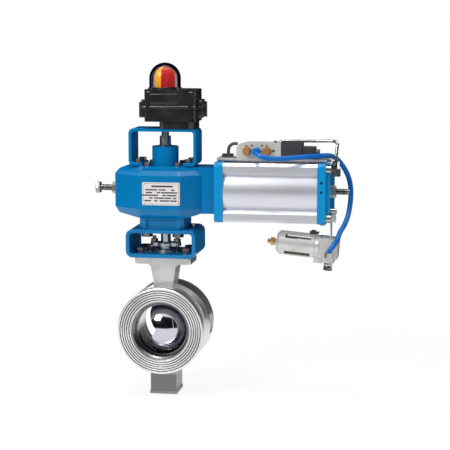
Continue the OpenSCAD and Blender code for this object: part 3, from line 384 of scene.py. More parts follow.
# %% Enamel
BLUE = (0.0, 0.148, 0.36)
BLUE_DARK = (0.0, 0.1, 0.27)
enamel = finish("blue_enamel", BLUE, BLUE_DARK, 0.13, patch=14, amount=0.45, change=0.06,
                grain_scale=260, coarse=0.9, bump=0.2, bump_mm=0.1, specular=0.3)
enamel_smooth = finish("blue_enamel_smooth", (0.0, 0.215, 0.47), (0.0, 0.17, 0.4), 0.2, patch=20, amount=0.3,
                       grain_scale=420, bump=0.12, bump_mm=0.05, specular=0.25)

# %% Castings and machined metal
casting = finish("blasted_casting", (0.82, 0.81, 0.79), (0.56, 0.55, 0.53), 0.3, metallic=0.95, patch=22,
                 amount=0.6, change=0.14, grain_scale=1500, coarse=0.8, bump=0.5, bump_mm=0.1)
# The bottom cover takes a darker copy of the casting with a higher roughness. The darker colour is painted
# shade under the valve.
bottom_cover_shaded_casting = finish("bottom_cover_painted_shade", (0.36, 0.35, 0.34), (0.2, 0.195, 0.19), 0.4, metallic=0.9, patch=40,
                      amount=0.7, change=0.12, grain_scale=1300, coarse=0.8, bump=0.6, bump_mm=0.12)
machined = finish("machined_steel", (0.66, 0.66, 0.65), (0.5, 0.5, 0.49), 0.22, metallic=1.0, patch=60,
                  amount=0.4, change=0.1, grain_scale=1800, bump=0.12, bump_mm=0.03)
filter_cast = finish("filter_casting", (0.62, 0.615, 0.59), (0.38, 0.37, 0.35), 0.32, metallic=0.45, patch=60,
                     amount=0.6, grain_scale=1200, coarse=0.6, bump=0.3, bump_mm=0.06)
zinc = finish("zinc_plate", (0.46, 0.45, 0.43), (0.2, 0.185, 0.165), 0.24, metallic=1.0, patch=140,
              amount=0.7, change=0.18, grain_scale=1600, bump=0.2, bump_mm=0.04)
dark_bolt = finish("dark_bolt", (0.32, 0.29, 0.27), (0.1, 0.075, 0.07), 0.3, metallic=0.95, patch=160,
                   amount=0.7, change=0.2, grain_scale=1500, bump=0.25, bump_mm=0.05)
nickel = finish("nickel_plate", (0.5, 0.5, 0.49), (0.28, 0.27, 0.26), 0.14, metallic=1.0, patch=90,
                amount=0.5, change=0.12, grain_scale=1600, bump=0.1, bump_mm=0.03)
pipe_steel = finish("bright_pipe", (0.34, 0.34, 0.34), (0.16, 0.155, 0.15), 0.2, metallic=1.0, patch=90,
                    amount=0.6, change=0.12, grain_scale=1600, bump=0.1, bump_mm=0.03)
# The seat ring and its retainer take a dark steel: painted shade in the mouth of the bore.
seat_recess_shaded_steel = finish("seat_painted_shade", (0.24, 0.24, 0.25), (0.13, 0.13, 0.14), 0.25, metallic=1.0, patch=70,
                    amount=0.5, grain_scale=1400, bump=0.12, bump_mm=0.03)
anodised = finish("anodised_tube", (0.72, 0.73, 0.78), (0.66, 0.67, 0.72), 0.36, metallic=0.8, patch=18,
                  amount=0.35, change=0.06, grain_scale=2400, coarse=0.2, bump=0.22, bump_mm=0.03)
label_plate = finish("label_plate", (0.74, 0.71, 0.7), (0.64, 0.61, 0.6), 0.35, metallic=0.35, patch=50,
                     amount=0.3, grain_scale=1700, bump=0.08, bump_mm=0.03)
satin_plate = finish("satin_plate", (0.84, 0.84, 0.84), (0.66, 0.66, 0.66), 0.32, metallic=0.75, patch=50,
                     amount=0.4, grain_scale=1700, bump=0.12, bump_mm=0.03)
bronze = finish("bearing_bronze", (0.5, 0.3, 0.12), (0.36, 0.2, 0.08), 0.35, metallic=1.0, patch=80, bump=0.2)
sinter = finish("sintered_brass", (0.45, 0.22, 0.075), (0.22, 0.095, 0.035), 0.5, metallic=0.6,
                patch=300, amount=0.8, change=0.2, grain_scale=2200, coarse=0.8, bump=0.9, bump_mm=0.25)
drain_brass = finish("drain_brass", (0.62, 0.38, 0.15), (0.4, 0.23, 0.08), 0.25, metallic=0.95,
                     patch=150, bump=0.2)
inner_steel = finish("inner_steel", (0.3, 0.3, 0.3), (0.16, 0.16, 0.16), 0.35, metallic=1.0, patch=70,
                     bump=0.2)
print("metals ready:", len(bpy.data.materials))

# %% [markdown]
# The foot of the body casting stands nearest to the floor, where shade falls on it. The casting's own
# finish therefore fades to a darker colour below a given height: painted shade on the foot.


# %% Painted shade on the foot of the casting
FOOT_FADE_TOP, FOOT_FADE_BOTTOM = -0.066, -0.076
FOOT_PAINTED_SHADE = (0.24, 0.235, 0.23)


def darken_below(material, top, bottom, color):
    """Fades the base colour of a finish to another one between two heights of the piece."""
    tree = material.node_tree
    shader = tree.nodes["Principled BSDF"]
    place = tree.nodes.new("ShaderNodeTexCoord")
    split = tree.nodes.new("ShaderNodeSeparateXYZ")
    tree.links.new(place.outputs["Object"], split.inputs[0])
    fade = tree.nodes.new("ShaderNodeMapRange")
    fade.inputs["From Min"].default_value = top
    fade.inputs["From Max"].default_value = bottom
    tree.links.new(split.outputs["Z"], fade.inputs["Value"])
    usual = tree.nodes["surface"].outputs["Color"]
    tree.links.new(mix_color(tree, fade.outputs["Result"], usual, (*color, 1)), shader.inputs["Base Color"])


# Painted shade: the casting's colour darkens towards its foot.
darken_below(casting, FOOT_FADE_TOP, FOOT_FADE_BOTTOM, FOOT_PAINTED_SHADE)
print("the casting fades below", FOOT_FADE_TOP, "m")

# %% Plastics and rubber
black_case = finish("black_case", (0.011, 0.012, 0.013), (0.022, 0.023, 0.025), 0.2, patch=40,
                    amount=0.5, change=0.12, grain_scale=1400, coarse=0.6, bump=0.35, bump_mm=0.08,
                    specular=0.6)
black_satin = finish("black_satin", (0.03, 0.031, 0.034), (0.055, 0.056, 0.06), 0.4, patch=60, amount=0.5,
                     grain_scale=1700, bump=0.3, bump_mm=0.05)
grey_paint = finish("warm_grey_paint", (0.50, 0.49, 0.45), (0.42, 0.41, 0.37), 0.36, patch=40, amount=0.5,
                    grain_scale=1100, coarse=0.5, bump=0.2, bump_mm=0.06, metallic=0.15)
rubber = finish("black_rubber", (0.02, 0.02, 0.02), (0.04, 0.04, 0.04), 0.6, bump=0.3)
ptfe = finish("white_packing", (0.75, 0.74, 0.7), (0.66, 0.65, 0.6), 0.5, bump=0.2)
potted = finish("sensor_case", (0.55, 0.3, 0.04), (0.45, 0.22, 0.03), 0.35, bump=0.2)
hose_blue = finish("blue_hose", (0.0, 0.115, 0.4), (0.0, 0.07, 0.3), 0.22, patch=40, amount=0.4, change=0.06,
                   grain_scale=500, bump=0.06, bump_mm=0.03, specular=0.25)
blue_cap = finish("blue_release_ring", (0.004, 0.16, 0.5), (0.002, 0.1, 0.4), 0.3, patch=80, bump=0.1)
print("materials:", len(bpy.data.materials))

# %% [markdown]
# ## Dressing the construction
# Each node of the construction takes one finish. A dictionary keeps that list readable.

# %% Which piece has which finish
dressing = {
    enamel: ["housing", "housing_cover", "mounting_bracket", "switch_bracket"],
    enamel_smooth: ["inner_end_plate", "outer_end_cap"],
    casting: ["valve_body", "gland_flange"],
    bottom_cover_shaded_casting: ["bottom_cover"],
    machined: ["gland_follower", "valve_stem", "lower_trunnion", "drive_shaft", "yoke_rollers",
               "piston_rod", "switch_shaft", "valve_spool", "v_ball"],
    zinc: ["tie_bolts", "lid_screws", "left_stop_screw", "right_stop_screw", "stop_lock_nuts"],
    dark_bolt: ["bracket_bolts", "cover_bolts", "gland_studs"],
    seat_recess_shaded_steel: ["seat_ring", "seat_retainer"],
    anodised: ["cylinder_tube"],
    satin_plate: ["solenoid_plate", "filter_bracket", "piston"],
    label_plate: ["nameplate"],
    bronze: ["stem_bearings", "bronze_bushes"],
    inner_steel: ["yoke", "slide_block"],
    sinter: ["exhaust_silencers"],
    drain_brass: ["drain_cock"],
    nickel: ["air_fittings", "air_pipe"],
    black_case: ["switch_base", "switch_lid"],
    black_satin: ["solenoid_coil", "din_connector", "guard_latch", "override_button", "pilot_hose"],
    grey_paint: ["solenoid_body"],
    filter_cast: ["filter_head", "bowl_guard"],
    rubber: ["cylinder_seals", "piston_seals"],
    ptfe: ["packing_rings", "filter_element"],
    potted: ["proximity_sensors"],
    hose_blue: ["air_hose"],
}
for material, names in dressing.items():
    for name in names:
        piece = nodes[name]
        piece.data.materials.clear()
        piece.data.materials.append(material)
print("dressed:", sum(len(names) for names in dressing.values()))

# %% [markdown]
# ## Helpers for new pieces
# A new piece starts as a bmesh, is shaped by bmesh operators, and becomes an object that sits at the
# origin with its place in its mesh, like the pieces of the frame. `settle` does that last step, gives the
# finish, and says which body carries the piece.


# %% Turning a bmesh into a piece
STEM = Vector((0, sum(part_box("valve_stem")[i][1] for i in (0, 1)) / 2, 0))
MM = 0.001


def settle(name, shape, material, body="frame", smooth=True, angle=35):
    """Writes the bmesh into a named piece with one finish, riding on a body."""
    bmesh.ops.recalc_face_normals(shape, faces=shape.faces)
    data = bpy.data.meshes.new(name)
    shape.to_mesh(data)
    shape.free()
    piece = bpy.data.objects.new(name, data)
    scene.collection.objects.link(piece)
    data.materials.append(material)
    if smooth:
        data.shade_smooth()
        data.set_sharp_from_angle(angle=math.radians(angle))
    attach(piece, body)
    return piece


def place(shape, turn=None, move=(0, 0, 0), verts=None):
    """Turns (a matrix) and then moves the vertices of a bmesh."""
    verts = verts or shape.verts
    if turn is not None:
        bmesh.ops.transform(shape, matrix=turn, verts=verts)
    bmesh.ops.translate(shape, vec=Vector(move), verts=verts)


def lathe(shape, profile, steps=64):
    """Spins a line of (radius, height) points in millimetres about Z and welds the seam."""
    verts = [shape.verts.new((r * MM, 0, z * MM)) for r, z in profile]
    edges = [shape.edges.new(pair) for pair in zip(verts, verts[1:])]
    bmesh.ops.spin(shape, geom=verts + edges, cent=(0, 0, 0), axis=(0, 0, 1), dvec=(0, 0, 0),
                   angle=2 * math.pi, steps=steps, use_merge=True)
    bmesh.ops.remove_doubles(shape, verts=shape.verts, dist=1e-6)
    return shape


def add_shape(whole, shape):
    """Puts one bmesh into another and frees it."""
    data = bpy.data.meshes.new("part")
    shape.to_mesh(data)
    shape.free()
    whole.from_mesh(data)
    bpy.data.meshes.remove(data)


def join_shapes(shapes):
    """Puts several bmeshes into a new one."""
    whole = bmesh.new()
    for shape in shapes:
        add_shape(whole, shape)
    return whole


print("stem axis at y =", round(STEM.y, 4))

# %% [markdown]
# ## The ball
# The valve closes with one segment of a hollow ball, polished like a mirror. Its leading edge has a wide
# notch, so that the flow grows slowly as it opens. A sphere is cut along four planes, quarter by quarter,
# and then gets its wall. A turned ear at the top and one at the bottom take the stem.

# %% The polished ball
BALL_R = 44.5
BALL_WALL = 8.0
NOTCH_Y = -25.81
NOTCH_HALF = math.radians(55)
TRAIL_Y = 4.0
EAR_R = 15.0
EAR_BORE_R = 8.0
EAR_Z = 33.5
EAR_STEPS = 6
REST_OPEN = math.radians(45)


def keep_side(shape, chosen, point, normal):
    """Cuts the chosen faces with a plane and drops what lies on the side of its normal."""
    faces = [f for f in shape.faces if chosen(f.calc_center_median())]
    parts = set(faces)
    for f in faces:
        parts.update(f.edges)
        parts.update(f.verts)
    bmesh.ops.bisect_plane(shape, geom=list(parts), dist=1e-7, plane_co=point, plane_no=normal,
                           clear_outer=True)


ball = bmesh.new()
bmesh.ops.create_uvsphere(ball, u_segments=128, v_segments=96, radius=BALL_R * MM)
for normal in ((1, 0, 0), (0, 0, 1)):
    bmesh.ops.bisect_plane(ball, geom=ball.verts[:] + ball.edges[:] + ball.faces[:], dist=1e-7,
                           plane_co=(0, 0, 0), plane_no=normal)
tip = Vector((0, NOTCH_Y * MM, 0))
for sign in (1, -1):
    slope = Vector((0, math.sin(NOTCH_HALF), -sign * math.cos(NOTCH_HALF)))
    keep_side(ball, lambda c, s=sign: c.x < 0 and c.z * s > 0, tip, slope)
keep_side(ball, lambda c: c.x > 0, Vector((0, TRAIL_Y * MM, 0)), (0, 1, 0))
bmesh.ops.remove_doubles(ball, verts=ball.verts, dist=2e-6)
bmesh.ops.recalc_face_normals(ball, faces=ball.faces)
bmesh.ops.solidify(ball, geom=ball.faces[:], thickness=BALL_WALL * MM)
ear_start = math.asin(EAR_BORE_R / BALL_R)
ear_reach = math.asin(EAR_R / BALL_R) - ear_start
ear_angles = [ear_start + ear_reach * i / EAR_STEPS for i in range(EAR_STEPS + 1)]
arc = [(BALL_R * math.sin(a), BALL_R * math.cos(a)) for a in ear_angles]
for sign in (1, -1):
    ear = bmesh.new()
    lathe(ear, [(EAR_BORE_R, EAR_Z)] + arc + [(EAR_R, EAR_Z + 0.6), (EAR_R - 0.6, EAR_Z),
          (EAR_BORE_R, EAR_Z)])
    if sign < 0:
        place(ear, Matrix.Rotation(math.pi, 4, "X"))
    add_shape(ball, ear)
place(ball, Matrix.Rotation(REST_OPEN, 4, "Z"), STEM)
# The steel is tinted lilac-grey so that what it reflects takes that colour: a painted reflection.
mirror_steel = finish("mirror_steel", (0.62, 0.62, 0.69), (0.54, 0.54, 0.61), 0.1, metallic=1.0, patch=30,
                      amount=0.4, change=0.03, grain_scale=1200, bump=0.02, bump_mm=0.01)
ball_piece = settle("polished_ball", ball, mirror_steel, "rotor", angle=40)
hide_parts("v_ball")
print("ball:", len(ball_piece.data.polygons), "faces")

# %% [markdown]
# ## The indicator
# Under the clear dome a drum shows the valve's position from afar: red and yellow sectors that turn with
# the stem. The colours follow the angle round the drum's own axis, read from Object coordinates. At the
# half-open rest the edge between yellow and red faces the viewer.

# %% Indicator drum and dome
drum_low, drum_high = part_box("indicator_drum")
drum_axis = (Vector(drum_low) + Vector(drum_high)) / 2

drum_finish = finish("indicator_colours", (0.5, 0.002, 0.003), (0.4, 0.0015, 0.002), 0.3, patch=40, bump=0.05,
                     specular=0.06)
tree = drum_finish.node_tree
shader = tree.nodes["Principled BSDF"]
coords = tree.nodes.new("ShaderNodeTexCoord")
shift = tree.nodes.new("ShaderNodeMapping")
shift.inputs["Location"].default_value = (-drum_axis.x, -drum_axis.y, 0)
tree.links.new(coords.outputs["Object"], shift.inputs["Vector"])
split = tree.nodes.new("ShaderNodeSeparateXYZ")
tree.links.new(shift.outputs[0], split.inputs[0])
angle = math_node(tree, "ARCTAN2", split.outputs["Y"], split.outputs["X"])
turned = math_node(tree, "MULTIPLY", math_node(tree, "ADD", angle, math.radians(100 + 360)), 2.0)
wave = math_node(tree, "SINE", turned, 0.0)
yellow_mask = math_node(tree, "LESS_THAN", wave, 0.0)
base = tree.nodes["surface"].outputs["Color"]
painted = mix_color(tree, yellow_mask, base, (0.8, 0.34, 0.02, 1))
tree.links.new(painted, shader.inputs["Base Color"])
nodes["indicator_drum"].data.materials.clear()
nodes["indicator_drum"].data.materials.append(drum_finish)


# %% Clear plastic that darkens towards its outline
def clear_plastic(name, tint, edge, start, end):
    """Clear plastic whose grazing view is tinted, as thick moulded domes and bowls are."""
    material = bpy.data.materials.new(name)
    material.use_nodes = True
    tree = material.node_tree
    shader = tree.nodes["Principled BSDF"]
    shader.inputs["Roughness"].default_value = 0.04
    shader.inputs["Transmission Weight"].default_value = 1.0
    shader.inputs["IOR"].default_value = 1.25
    weight = tree.nodes.new("ShaderNodeLayerWeight")
    weight.inputs["Blend"].default_value = 0.5
    depth = tree.nodes.new("ShaderNodeMapRange")
    depth.interpolation_type = "SMOOTHSTEP"
    depth.inputs["From Min"].default_value = start
    depth.inputs["From Max"].default_value = end
    tree.links.new(weight.outputs["Facing"], depth.inputs["Value"])
    tree.links.new(mix_color(tree, depth.outputs["Result"], (*tint, 1), (*edge, 1)),
                   shader.inputs["Base Color"])
    return material


smoked = clear_plastic("smoked_dome", (0.96, 0.96, 0.97), (0.0, 0.0, 0.001), 0.16, 0.46)
bowl_plastic = clear_plastic("clear_bowl", (0.93, 0.93, 0.94), (0.5, 0.5, 0.52), 0.3, 1.0)
for name, material in (("indicator_dome", smoked), ("filter_bowl", bowl_plastic)):
    nodes[name].data.materials.clear()
    nodes[name].data.materials.append(material)
print("drum axis", [round(v, 4) for v in drum_axis])

# %% [markdown]
# ## Hoses and pipes
# A hose is a circle carried along a line. The line is a handful of guide points with a smooth curve
# through them; the circle is extruded from point to point and turned with the line, so it never
# flattens in a bend. The same helper draws the blue air hose, the short pilot hose and the steel pipe.


# %% Route and sweep helpers
def smooth_route(points, steps=8):
    """A smooth line through guide points in millimetres, counted from the stem axis, in metres."""
    points = [STEM + Vector(p) * MM for p in points]
    line = []
    for k in range(len(points) - 1):
        a, b = points[max(k - 1, 0)], points[k]
        c, d = points[k + 1], points[min(k + 2, len(points) - 1)]
        for j in range(steps):
            t = j / steps
            line.append(0.5 * (2 * b + (c - a) * t + (2 * a - 5 * b + 4 * c - d) * t * t
                               + (3 * b - a - 3 * c + d) * t ** 3))
    return line + [points[-1]]


def sweep(shape, line, radius, sides=24):
    """Carries a circle along a line and closes both ends."""
    made = bmesh.ops.create_circle(shape, cap_ends=True, radius=radius * MM, segments=sides)["verts"]
    heading = (line[1] - line[0]).normalized()
    place(shape, heading.to_track_quat("Z", "Y").to_matrix().to_4x4(), line[0], made)
    rim = [e for e in shape.edges if all(v in made for v in e.verts)]
    for k in range(1, len(line)):
        grown = bmesh.ops.extrude_edge_only(shape, edges=rim)["geom"]
        made = [g for g in grown if isinstance(g, bmesh.types.BMVert)]
        rim = [g for g in grown if isinstance(g, bmesh.types.BMEdge)
               and all(v in made for v in g.verts)]
        after = line[min(k + 1, len(line) - 1)] - line[k]
        new_heading = (after + line[k] - line[k - 1]).normalized()
        turn = heading.rotation_difference(new_heading).to_matrix().to_4x4()
        spin = Matrix.Translation(line[k]) @ turn @ Matrix.Translation(-line[k - 1])
        bmesh.ops.transform(shape, matrix=spin, verts=made)
        heading = new_heading
    bmesh.ops.contextual_create(shape, geom=rim)
    return shape


def route_length(line):
    return sum((b - a).length for a, b in zip(line, line[1:]))


# %% The blue air hose
HOSE_R = 4.0
HOSE_GUIDES = [
    (150.5, -33.5, 286), (150.5, -42, 286), (151.7, -49, 285.3), (155.1, -55, 283.3), (162, -58.5, 280.5),
    (173, -58.5, 278), (186.9, -55, 277), (203, -50, 277.8), (219.8, -44, 279), (236, -35, 279.5),
    (251, -22, 279.8), (262, -8, 278.8), (272, 6, 272.9), (281, 15, 260.5), (288, 19, 247),
    (292.5, 18.5, 232), (294, 14, 216), (293.5, 5, 200), (291.5, -6.5, 185.4), (287.5, -18.5, 173),
    (282, -31, 163), (278.5, -43.5, 153), (273.5, -48, 144), (268.2, -50.3, 137), (265.7, -50, 131),
    (265.6, -50, 127),
]
hose_line = smooth_route(HOSE_GUIDES)
hose = settle("blue_air_hose", sweep(bmesh.new(), hose_line, HOSE_R, 28), hose_blue,
              angle=60)
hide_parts("air_hose")
print("hose length", round(route_length(hose_line), 3), "m")

# %% The pilot hose and the steel pipe
THIN_R = 2.5
PILOT_GUIDES = [(118, -12, 296), (112, -12, 296), (107.5, -12, 294), (104.5, -12, 290), (103.5, -12, 285),
                (103.5, -12, 281)]
PIPE_GUIDES = [
    (176, 1.5, 290), (176, 6, 290), (177, 9, 292), (180, 10.5, 296), (185, 11, 298.5), (192, 11, 299),
    (215.4, 11, 299.5), (240.3, 10, 300), (265.3, 5, 300.5), (270.6, 1, 300), (273.4, -2, 297.5),
    (273.9, -4, 294), (273, -6, 288), (273, -8, 282), (272, -9, 277), (272, -9, 273), (272, -9, 270),
]
pilot = settle("black_pilot_hose", sweep(bmesh.new(), smooth_route(PILOT_GUIDES), THIN_R), black_satin,
               angle=60)
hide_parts("pilot_hose")
pipe_line = smooth_route(PIPE_GUIDES)
pipe = settle("bent_steel_pipe", sweep(bmesh.new(), pipe_line, THIN_R), pipe_steel, angle=60)
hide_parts("air_pipe")
print("pipe length", round(route_length(pipe_line), 3), "m")

# %% [markdown]
# ## Soft edges on the enamel
# Poured paint never leaves a sharp edge. A bevel modifier that looks only at real corners rounds them
# without touching the frame's own mesh. The frame's faces do not share their vertices, so a weld
# modifier joins them first. The housing has blunter corners than the rest, and so a smaller limit angle.

# %% Rounded corners
LIMIT_ANGLE = 38
LIMIT_ANGLES = {"housing": 18}
WELD_REACH = 1e-6
BEVEL_WIDTHS = (
    ("housing", 3.0), ("housing_cover", 1.6), ("mounting_bracket", 1.0), ("switch_bracket", 0.8),
    ("inner_end_plate", 0.9), ("outer_end_cap", 0.9), ("switch_lid", 2.2), ("switch_base", 1.6),
    ("solenoid_body", 0.7), ("solenoid_coil", 0.9), ("din_connector", 0.9), ("filter_head", 1.2),
    ("bracket_bolts", 0.5), ("cover_bolts", 0.5), ("gland_flange", 0.8), ("valve_body", 0.5),
)
for name, width in BEVEL_WIDTHS:
    weld = nodes[name].modifiers.new("joined_faces", "WELD")
    weld.merge_threshold = WELD_REACH
    soft = nodes[name].modifiers.new("soft_edges", "BEVEL")
    soft.width = width * MM
    soft.segments = 3
    soft.limit_method = "ANGLE"
    soft.angle_limit = math.radians(LIMIT_ANGLES.get(name, LIMIT_ANGLE))
    soft.harden_normals = True
print("softened:", sum(1 for o in nodes.values() if o.modifiers))

# %% [markdown]
# ## The nameplate
# A thin satin plate is riveted to the front of the housing. On the real one a maker prints a table; here
# the rows are only plain dashes. Each dash is a thin cuboid that stands a few hundredths of a
# millimetre proud, so that it stays crisp at any distance.

# %% Plate rows and rivets
PLATE_INSET = 3.2
DASH_T = 0.05
DASH_H = 2.1
RULE_T = 0.35
RULE_OUT = 1.2
FIRST_ROW, ROW_PITCH = 8.5, 4.3
ROW_STARTS = ((-22, -13, 2, 19), (-19, -4, 8, 21), (-23, -10, 5, 17), (-16, -3, 11, 22), (-21, -8, 6, 20))

plate_low, plate_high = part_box("nameplate")
plate_front = plate_low[1]
plate_mid = ((plate_low[0] + plate_high[0]) / 2, (plate_low[2] + plate_high[2]) / 2)
plate_w = (plate_high[0] - plate_low[0]) / MM
plate_h = (plate_high[2] - plate_low[2]) / MM


def cuboid(shape, size, middle):
    """A block of size millimetres about a point in metres."""
    made = bmesh.ops.create_cube(shape, size=1.0)["verts"]
    bmesh.ops.scale(shape, vec=Vector(size) * MM, verts=made)
    bmesh.ops.translate(shape, vec=Vector(middle), verts=made)
    return made


def dash(shape, x, z, width, height):
    """One printed dash, placed in millimetres from the middle of the plate."""
    middle = (plate_mid[0] + x * MM, plate_front - DASH_T * MM / 2, plate_mid[1] + z * MM)
    cuboid(shape, (width, DASH_T, height), middle)


print_ink = finish("plate_ink", (0.03, 0.03, 0.035), (0.05, 0.05, 0.05), 0.5, bump=0.0)
rows = bmesh.new()
half_w, half_h = plate_w / 2 - PLATE_INSET, plate_h / 2 - PLATE_INSET
for z in (half_h + RULE_OUT, -half_h - RULE_OUT):
    dash(rows, 0, z, 2 * half_w + 3, RULE_T)
for x in (half_w + RULE_OUT, -half_w - RULE_OUT):
    dash(rows, x, 0, RULE_T, 2 * half_h + 2 * RULE_OUT)
dash(rows, 2, half_h - 3.0, 34, 2.6)
for row, starts in enumerate(ROW_STARTS):
    z = half_h - FIRST_ROW - row * ROW_PITCH
    for k, x in enumerate(starts):
        dash(rows, x, z, 5.5 + 5.0 * ((row + 2 * k) % 3), DASH_H)
settle("plate_rows", rows, print_ink, smooth=False)
rivets = []
for sx in (-1, 1):
    for sz in (-1, 1):
        one = bmesh.new()
        lathe(one, [(1.7, 0), (1.6, 0.5), (1.1, 0.95), (0.5, 1.15), (0.01, 1.2)], 20)
        place(one, Matrix.Rotation(math.pi / 2, 4, "X"),
              (plate_mid[0] + sx * (half_w + 0.2) * MM, plate_front, plate_mid[1] + sz * (half_h + 0.2) * MM))
        rivets.append(one)
settle("plate_rivets", join_shapes(rivets), machined)
print("plate", round(plate_w, 1), "x", round(plate_h, 1))

# %% [markdown]
# ## The switch box
# The moulded box has a raised panel on its lid, a rounded lip round the seam, and a column at each front
# corner for the lid screws. They are small forms, but their rounded edges carry the highlights that
# make black plastic readable.


# %% Box panel, lip and columns
def soft_block(size, middle, radius, steps=4):
    """A block of size millimetres about a point in metres, with every edge rounded."""
    shape = bmesh.new()
    cuboid(shape, size, middle)
    bmesh.ops.bevel(shape, geom=shape.edges[:], offset=radius * MM, segments=steps, profile=0.5,
                    affect="EDGES", material=-1)
    return shape


BOX_X, BOX_W, BOX_D = 13.0, 83.0, 64.0
COLUMN = [(0.01, 0), (4.6, 0), (6, 1.4), (6, 41.6), (4.6, 43), (0.01, 43)]
lid_low, lid_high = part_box("switch_lid")
seam_z = lid_low[2] + 1.0 * MM
lid_top = lid_high[2] - 2.5 * MM
front_y = STEM.y - BOX_D / 2 * MM
panel = soft_block((45, 2.4, 17), (STEM.x + (BOX_X - 9) * MM, front_y, lid_top - 14.5 * MM), 1.1)
lip = soft_block((BOX_W + 3.2, BOX_D + 3.2, 5), (STEM.x + BOX_X * MM, STEM.y, seam_z), 2.3)
columns = []
for side in (-1, 1):
    column = lathe(bmesh.new(), COLUMN, 40)
    column_x = STEM.x + (BOX_X + side * (BOX_W / 2 - 7.5)) * MM
    place(column, None, (column_x, front_y + 3.6 * MM, lid_top - 45.5 * MM))
    columns.append(column)
settle("box_mouldings", join_shapes([panel, lip] + columns), black_case, angle=40)
print("lid top at", round(lid_top, 4), "seam at", round(seam_z, 4))

# %% [markdown]
# ## The solenoid valve's small parts
# A push-in fitting is read by its coloured release ring, and a valve block by its screws.

# %% Release ring and block screws
VALVE_FRONT = -25.5
PORT_Z = 286.0
RELEASE = [(4.1, 0), (4.1, 10.5), (5.6, 10.5), (6.3, 9.8), (6.3, 8), (6.9, 7.6), (6.9, 0), (4.1, 0)]
release = lathe(bmesh.new(), RELEASE, 48)
forward = Matrix.Rotation(math.pi / 2, 4, "X")
place(release, forward, STEM + Vector((150.5, VALVE_FRONT - 5.0, PORT_Z)) * MM)
settle("blue_release_ring", release, blue_cap)
screws = []
for x, z, radius in ((142.6, 294.6, 1.5), (158.4, 294.6, 1.5), (176.4, 286.4, 2.1)):
    head = [(0.01, 0.12), (radius * 0.6, 0.12), (radius * 0.7, 0.3), (radius, 0.3), (radius, -0.6)]
    screw = lathe(bmesh.new(), head, 24)
    place(screw, forward, STEM + Vector((x, VALVE_FRONT, z)) * MM)
    screws.append(screw)
settle("block_screws", join_shapes(screws), black_satin)
print("screws on the valve block:", len(screws))

# %% [markdown]
# The supply fitting under the filter hangs open. A plain nickel sleeve and a black collet finish its
# mouth. Both are turned about the fitting's own axis, which leans a little.

# %% Collet and sleeve of the air supply
SUPPLY_AT = Vector((0.262, 0.028, 0.1025))
SUPPLY_DOWN = Vector((-0.0872, 0, -0.9962))
down = SUPPLY_DOWN.to_track_quat("Z", "Y").to_matrix().to_4x4()
COLLET = [(4.1, -1.0), (4.1, 1.4), (6.6, 1.4), (7.1, 0.9), (7.1, -1.0), (6.6, -1.4), (4.4, -1.4), (4.1, -1.0)]
collet = lathe(bmesh.new(), COLLET, 48)
place(collet, down, SUPPLY_AT)
settle("supply_collet", collet, black_satin)
SLEEVE = [(6.2, -10.5), (6.6, -10.1), (6.75, -9.6), (6.75, -6.6), (6.55, -6.3), (6.55, -5.7), (6.75, -5.4),
          (6.75, -1.6), (6.2, -1.4), (6.2, -10.5)]
sleeve = lathe(bmesh.new(), SLEEVE, 64)
place(sleeve, down, SUPPLY_AT)
settle("supply_sleeve", sleeve, nickel)
print("supply fitting at", [round(v, 4) for v in SUPPLY_AT])

# %% [markdown]
# ## The sealing face
# The face that meets the pipe flange is turned on a lathe: five round grooves bite into the gasket, and
# the fine tool marks between them smear every highlight into two opposite fans. A lathed ring gives
# the grooves, a dark finish on their floors and walls paints the shade in them, and an anisotropic metal
# with a radial tangent gives the fans.

# %% Turned face
FACE_INNER, FACE_OUTER = 47.6, 68.0
GROOVE_FIRST, GROOVE_PITCH, GROOVE_W = 65.6, 3.6, 1.6
GROOVE_COUNT = 5
FACE_LIFT = 0.08

turned_face = finish("turned_face", (0.96, 0.96, 0.96), (0.78, 0.78, 0.78), 0.3, metallic=1.0, patch=24,
                     amount=0.5, change=0.1, grain_scale=1600, coarse=0.3, bump=0.15, bump_mm=0.04)
tree = turned_face.node_tree
radial = tree.nodes.new("ShaderNodeTangent")
radial.direction_type = "RADIAL"
radial.axis = "Y"
tree.links.new(radial.outputs[0], tree.nodes["Principled BSDF"].inputs["Tangent"])
tree.nodes["Principled BSDF"].inputs["Anisotropic"].default_value = 0.75

profile = [(FACE_INNER, FACE_LIFT - 0.9), (FACE_INNER + 0.2, FACE_LIFT)]
for i in reversed(range(GROOVE_COUNT)):
    outer = GROOVE_FIRST - i * GROOVE_PITCH
    inner = outer - GROOVE_W
    profile += [(inner - 0.15, FACE_LIFT), (inner + 0.1, FACE_LIFT - 0.3), (inner + 0.45, FACE_LIFT - 0.85),
                (outer - 0.45, FACE_LIFT - 0.85), (outer - 0.1, FACE_LIFT - 0.3), (outer + 0.15, FACE_LIFT)]
profile += [(FACE_OUTER, FACE_LIFT), (FACE_OUTER + 0.4, FACE_LIFT - 0.25)]
face = lathe(bmesh.new(), profile, 160)
place(face, Matrix.Rotation(math.pi / 2, 4, "X"))
sealing = settle("turned_sealing_face", face, turned_face, angle=25)
# Painted shade: the floors and walls of the grooves take a dark finish.
painted_groove_shade = finish("painted_groove_shade", (0.16, 0.16, 0.16), (0.09, 0.09, 0.09), 0.35, metallic=1.0,
                      patch=40, bump=0.1)
sealing.data.materials.append(painted_groove_shade)
for flat in sealing.data.polygons:
    x, y, z = flat.center
    if y > 0.25 * MM and math.hypot(x, z) > (FACE_INNER + 1) * MM:
        flat.material_index = 1
print("face radii", FACE_INNER, FACE_OUTER)

# %% [markdown]
# ## Threads
# A stop screw sets how far the piston can travel, and its thread is what one sees of it. A true helix is
# not needed at this size: a lathed saw-tooth line has the same light and dark bands.


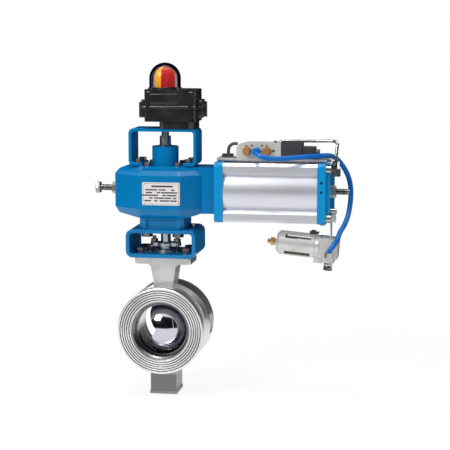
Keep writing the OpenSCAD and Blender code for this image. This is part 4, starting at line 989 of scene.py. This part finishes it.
# %% Stop screws
def thread_line(radius, start, end, pitch, depth):
    """Profile points of a threaded shank along the axis, in millimetres."""
    points = []
    steps = int((end - start) / pitch)
    for k in range(steps):
        z = start + k * pitch
        points += [(radius - depth, z), (radius, z + pitch / 2)]
    return points + [(radius - depth, start + steps * pitch)]


def hex_prism(shape, flats, low, high, chamfer):
    """A six-sided nut or head about Z between two heights, with its corners turned off."""
    made = bmesh.ops.create_cone(shape, cap_ends=True, segments=6, radius1=flats / math.sqrt(3) * MM,
                                 radius2=flats / math.sqrt(3) * MM, depth=(high - low) * MM)["verts"]
    bmesh.ops.translate(shape, verts=made, vec=(0, 0, (low + high) / 2 * MM))
    rims = [e for e in shape.edges if all(v in made for v in e.verts)
            and abs(e.verts[0].co.z - e.verts[1].co.z) < 1e-6]
    bmesh.ops.bevel(shape, geom=rims, offset=chamfer * MM, segments=2, profile=0.5, affect="EDGES",
                    material=-1)
    return shape


THREAD_R, THREAD_PITCH, THREAD_DEPTH = 5.0, 1.25, 0.7
HEAD_FLATS, HEAD_H = 17, 7
upon_x = Matrix.Rotation(math.pi / 2, 4, "Y")

left_low, left_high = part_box("left_stop_screw")
length = (left_high[0] - left_low[0]) / MM
rod_z = (left_low[2] + left_high[2]) / 2
shank = thread_line(THREAD_R, HEAD_H, length - 0.5, THREAD_PITCH, THREAD_DEPTH)
screw = lathe(bmesh.new(), [(0.01, HEAD_H - 0.1)] + shank + [(0.01, length)], 32)
hex_prism(screw, HEAD_FLATS, 0, HEAD_H, 0.9)
lathe(screw, [(0.01, -0.05), (6.4, -0.05), (7.2, 0.5)], 32)
place(screw, upon_x, (left_low[0], STEM.y, rod_z))
left_screw = settle("threaded_left_stop", screw, zinc, "left_stop", angle=30)
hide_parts("left_stop_screw")

right_low, right_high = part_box("right_stop_screw")
length = (right_high[0] - right_low[0]) / MM
shank = thread_line(THREAD_R, 0.5, length - 1.5, THREAD_PITCH, THREAD_DEPTH)
screw = lathe(bmesh.new(), [(0.01, 0)] + shank + [(4.0, length), (0.01, length)], 32)
place(screw, upon_x, (right_low[0], STEM.y, rod_z))
right_screw = settle("threaded_right_stop", screw, zinc, "right_stop", angle=30)
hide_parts("right_stop_screw")
print("stop screws", round(length, 1), "mm on the right")
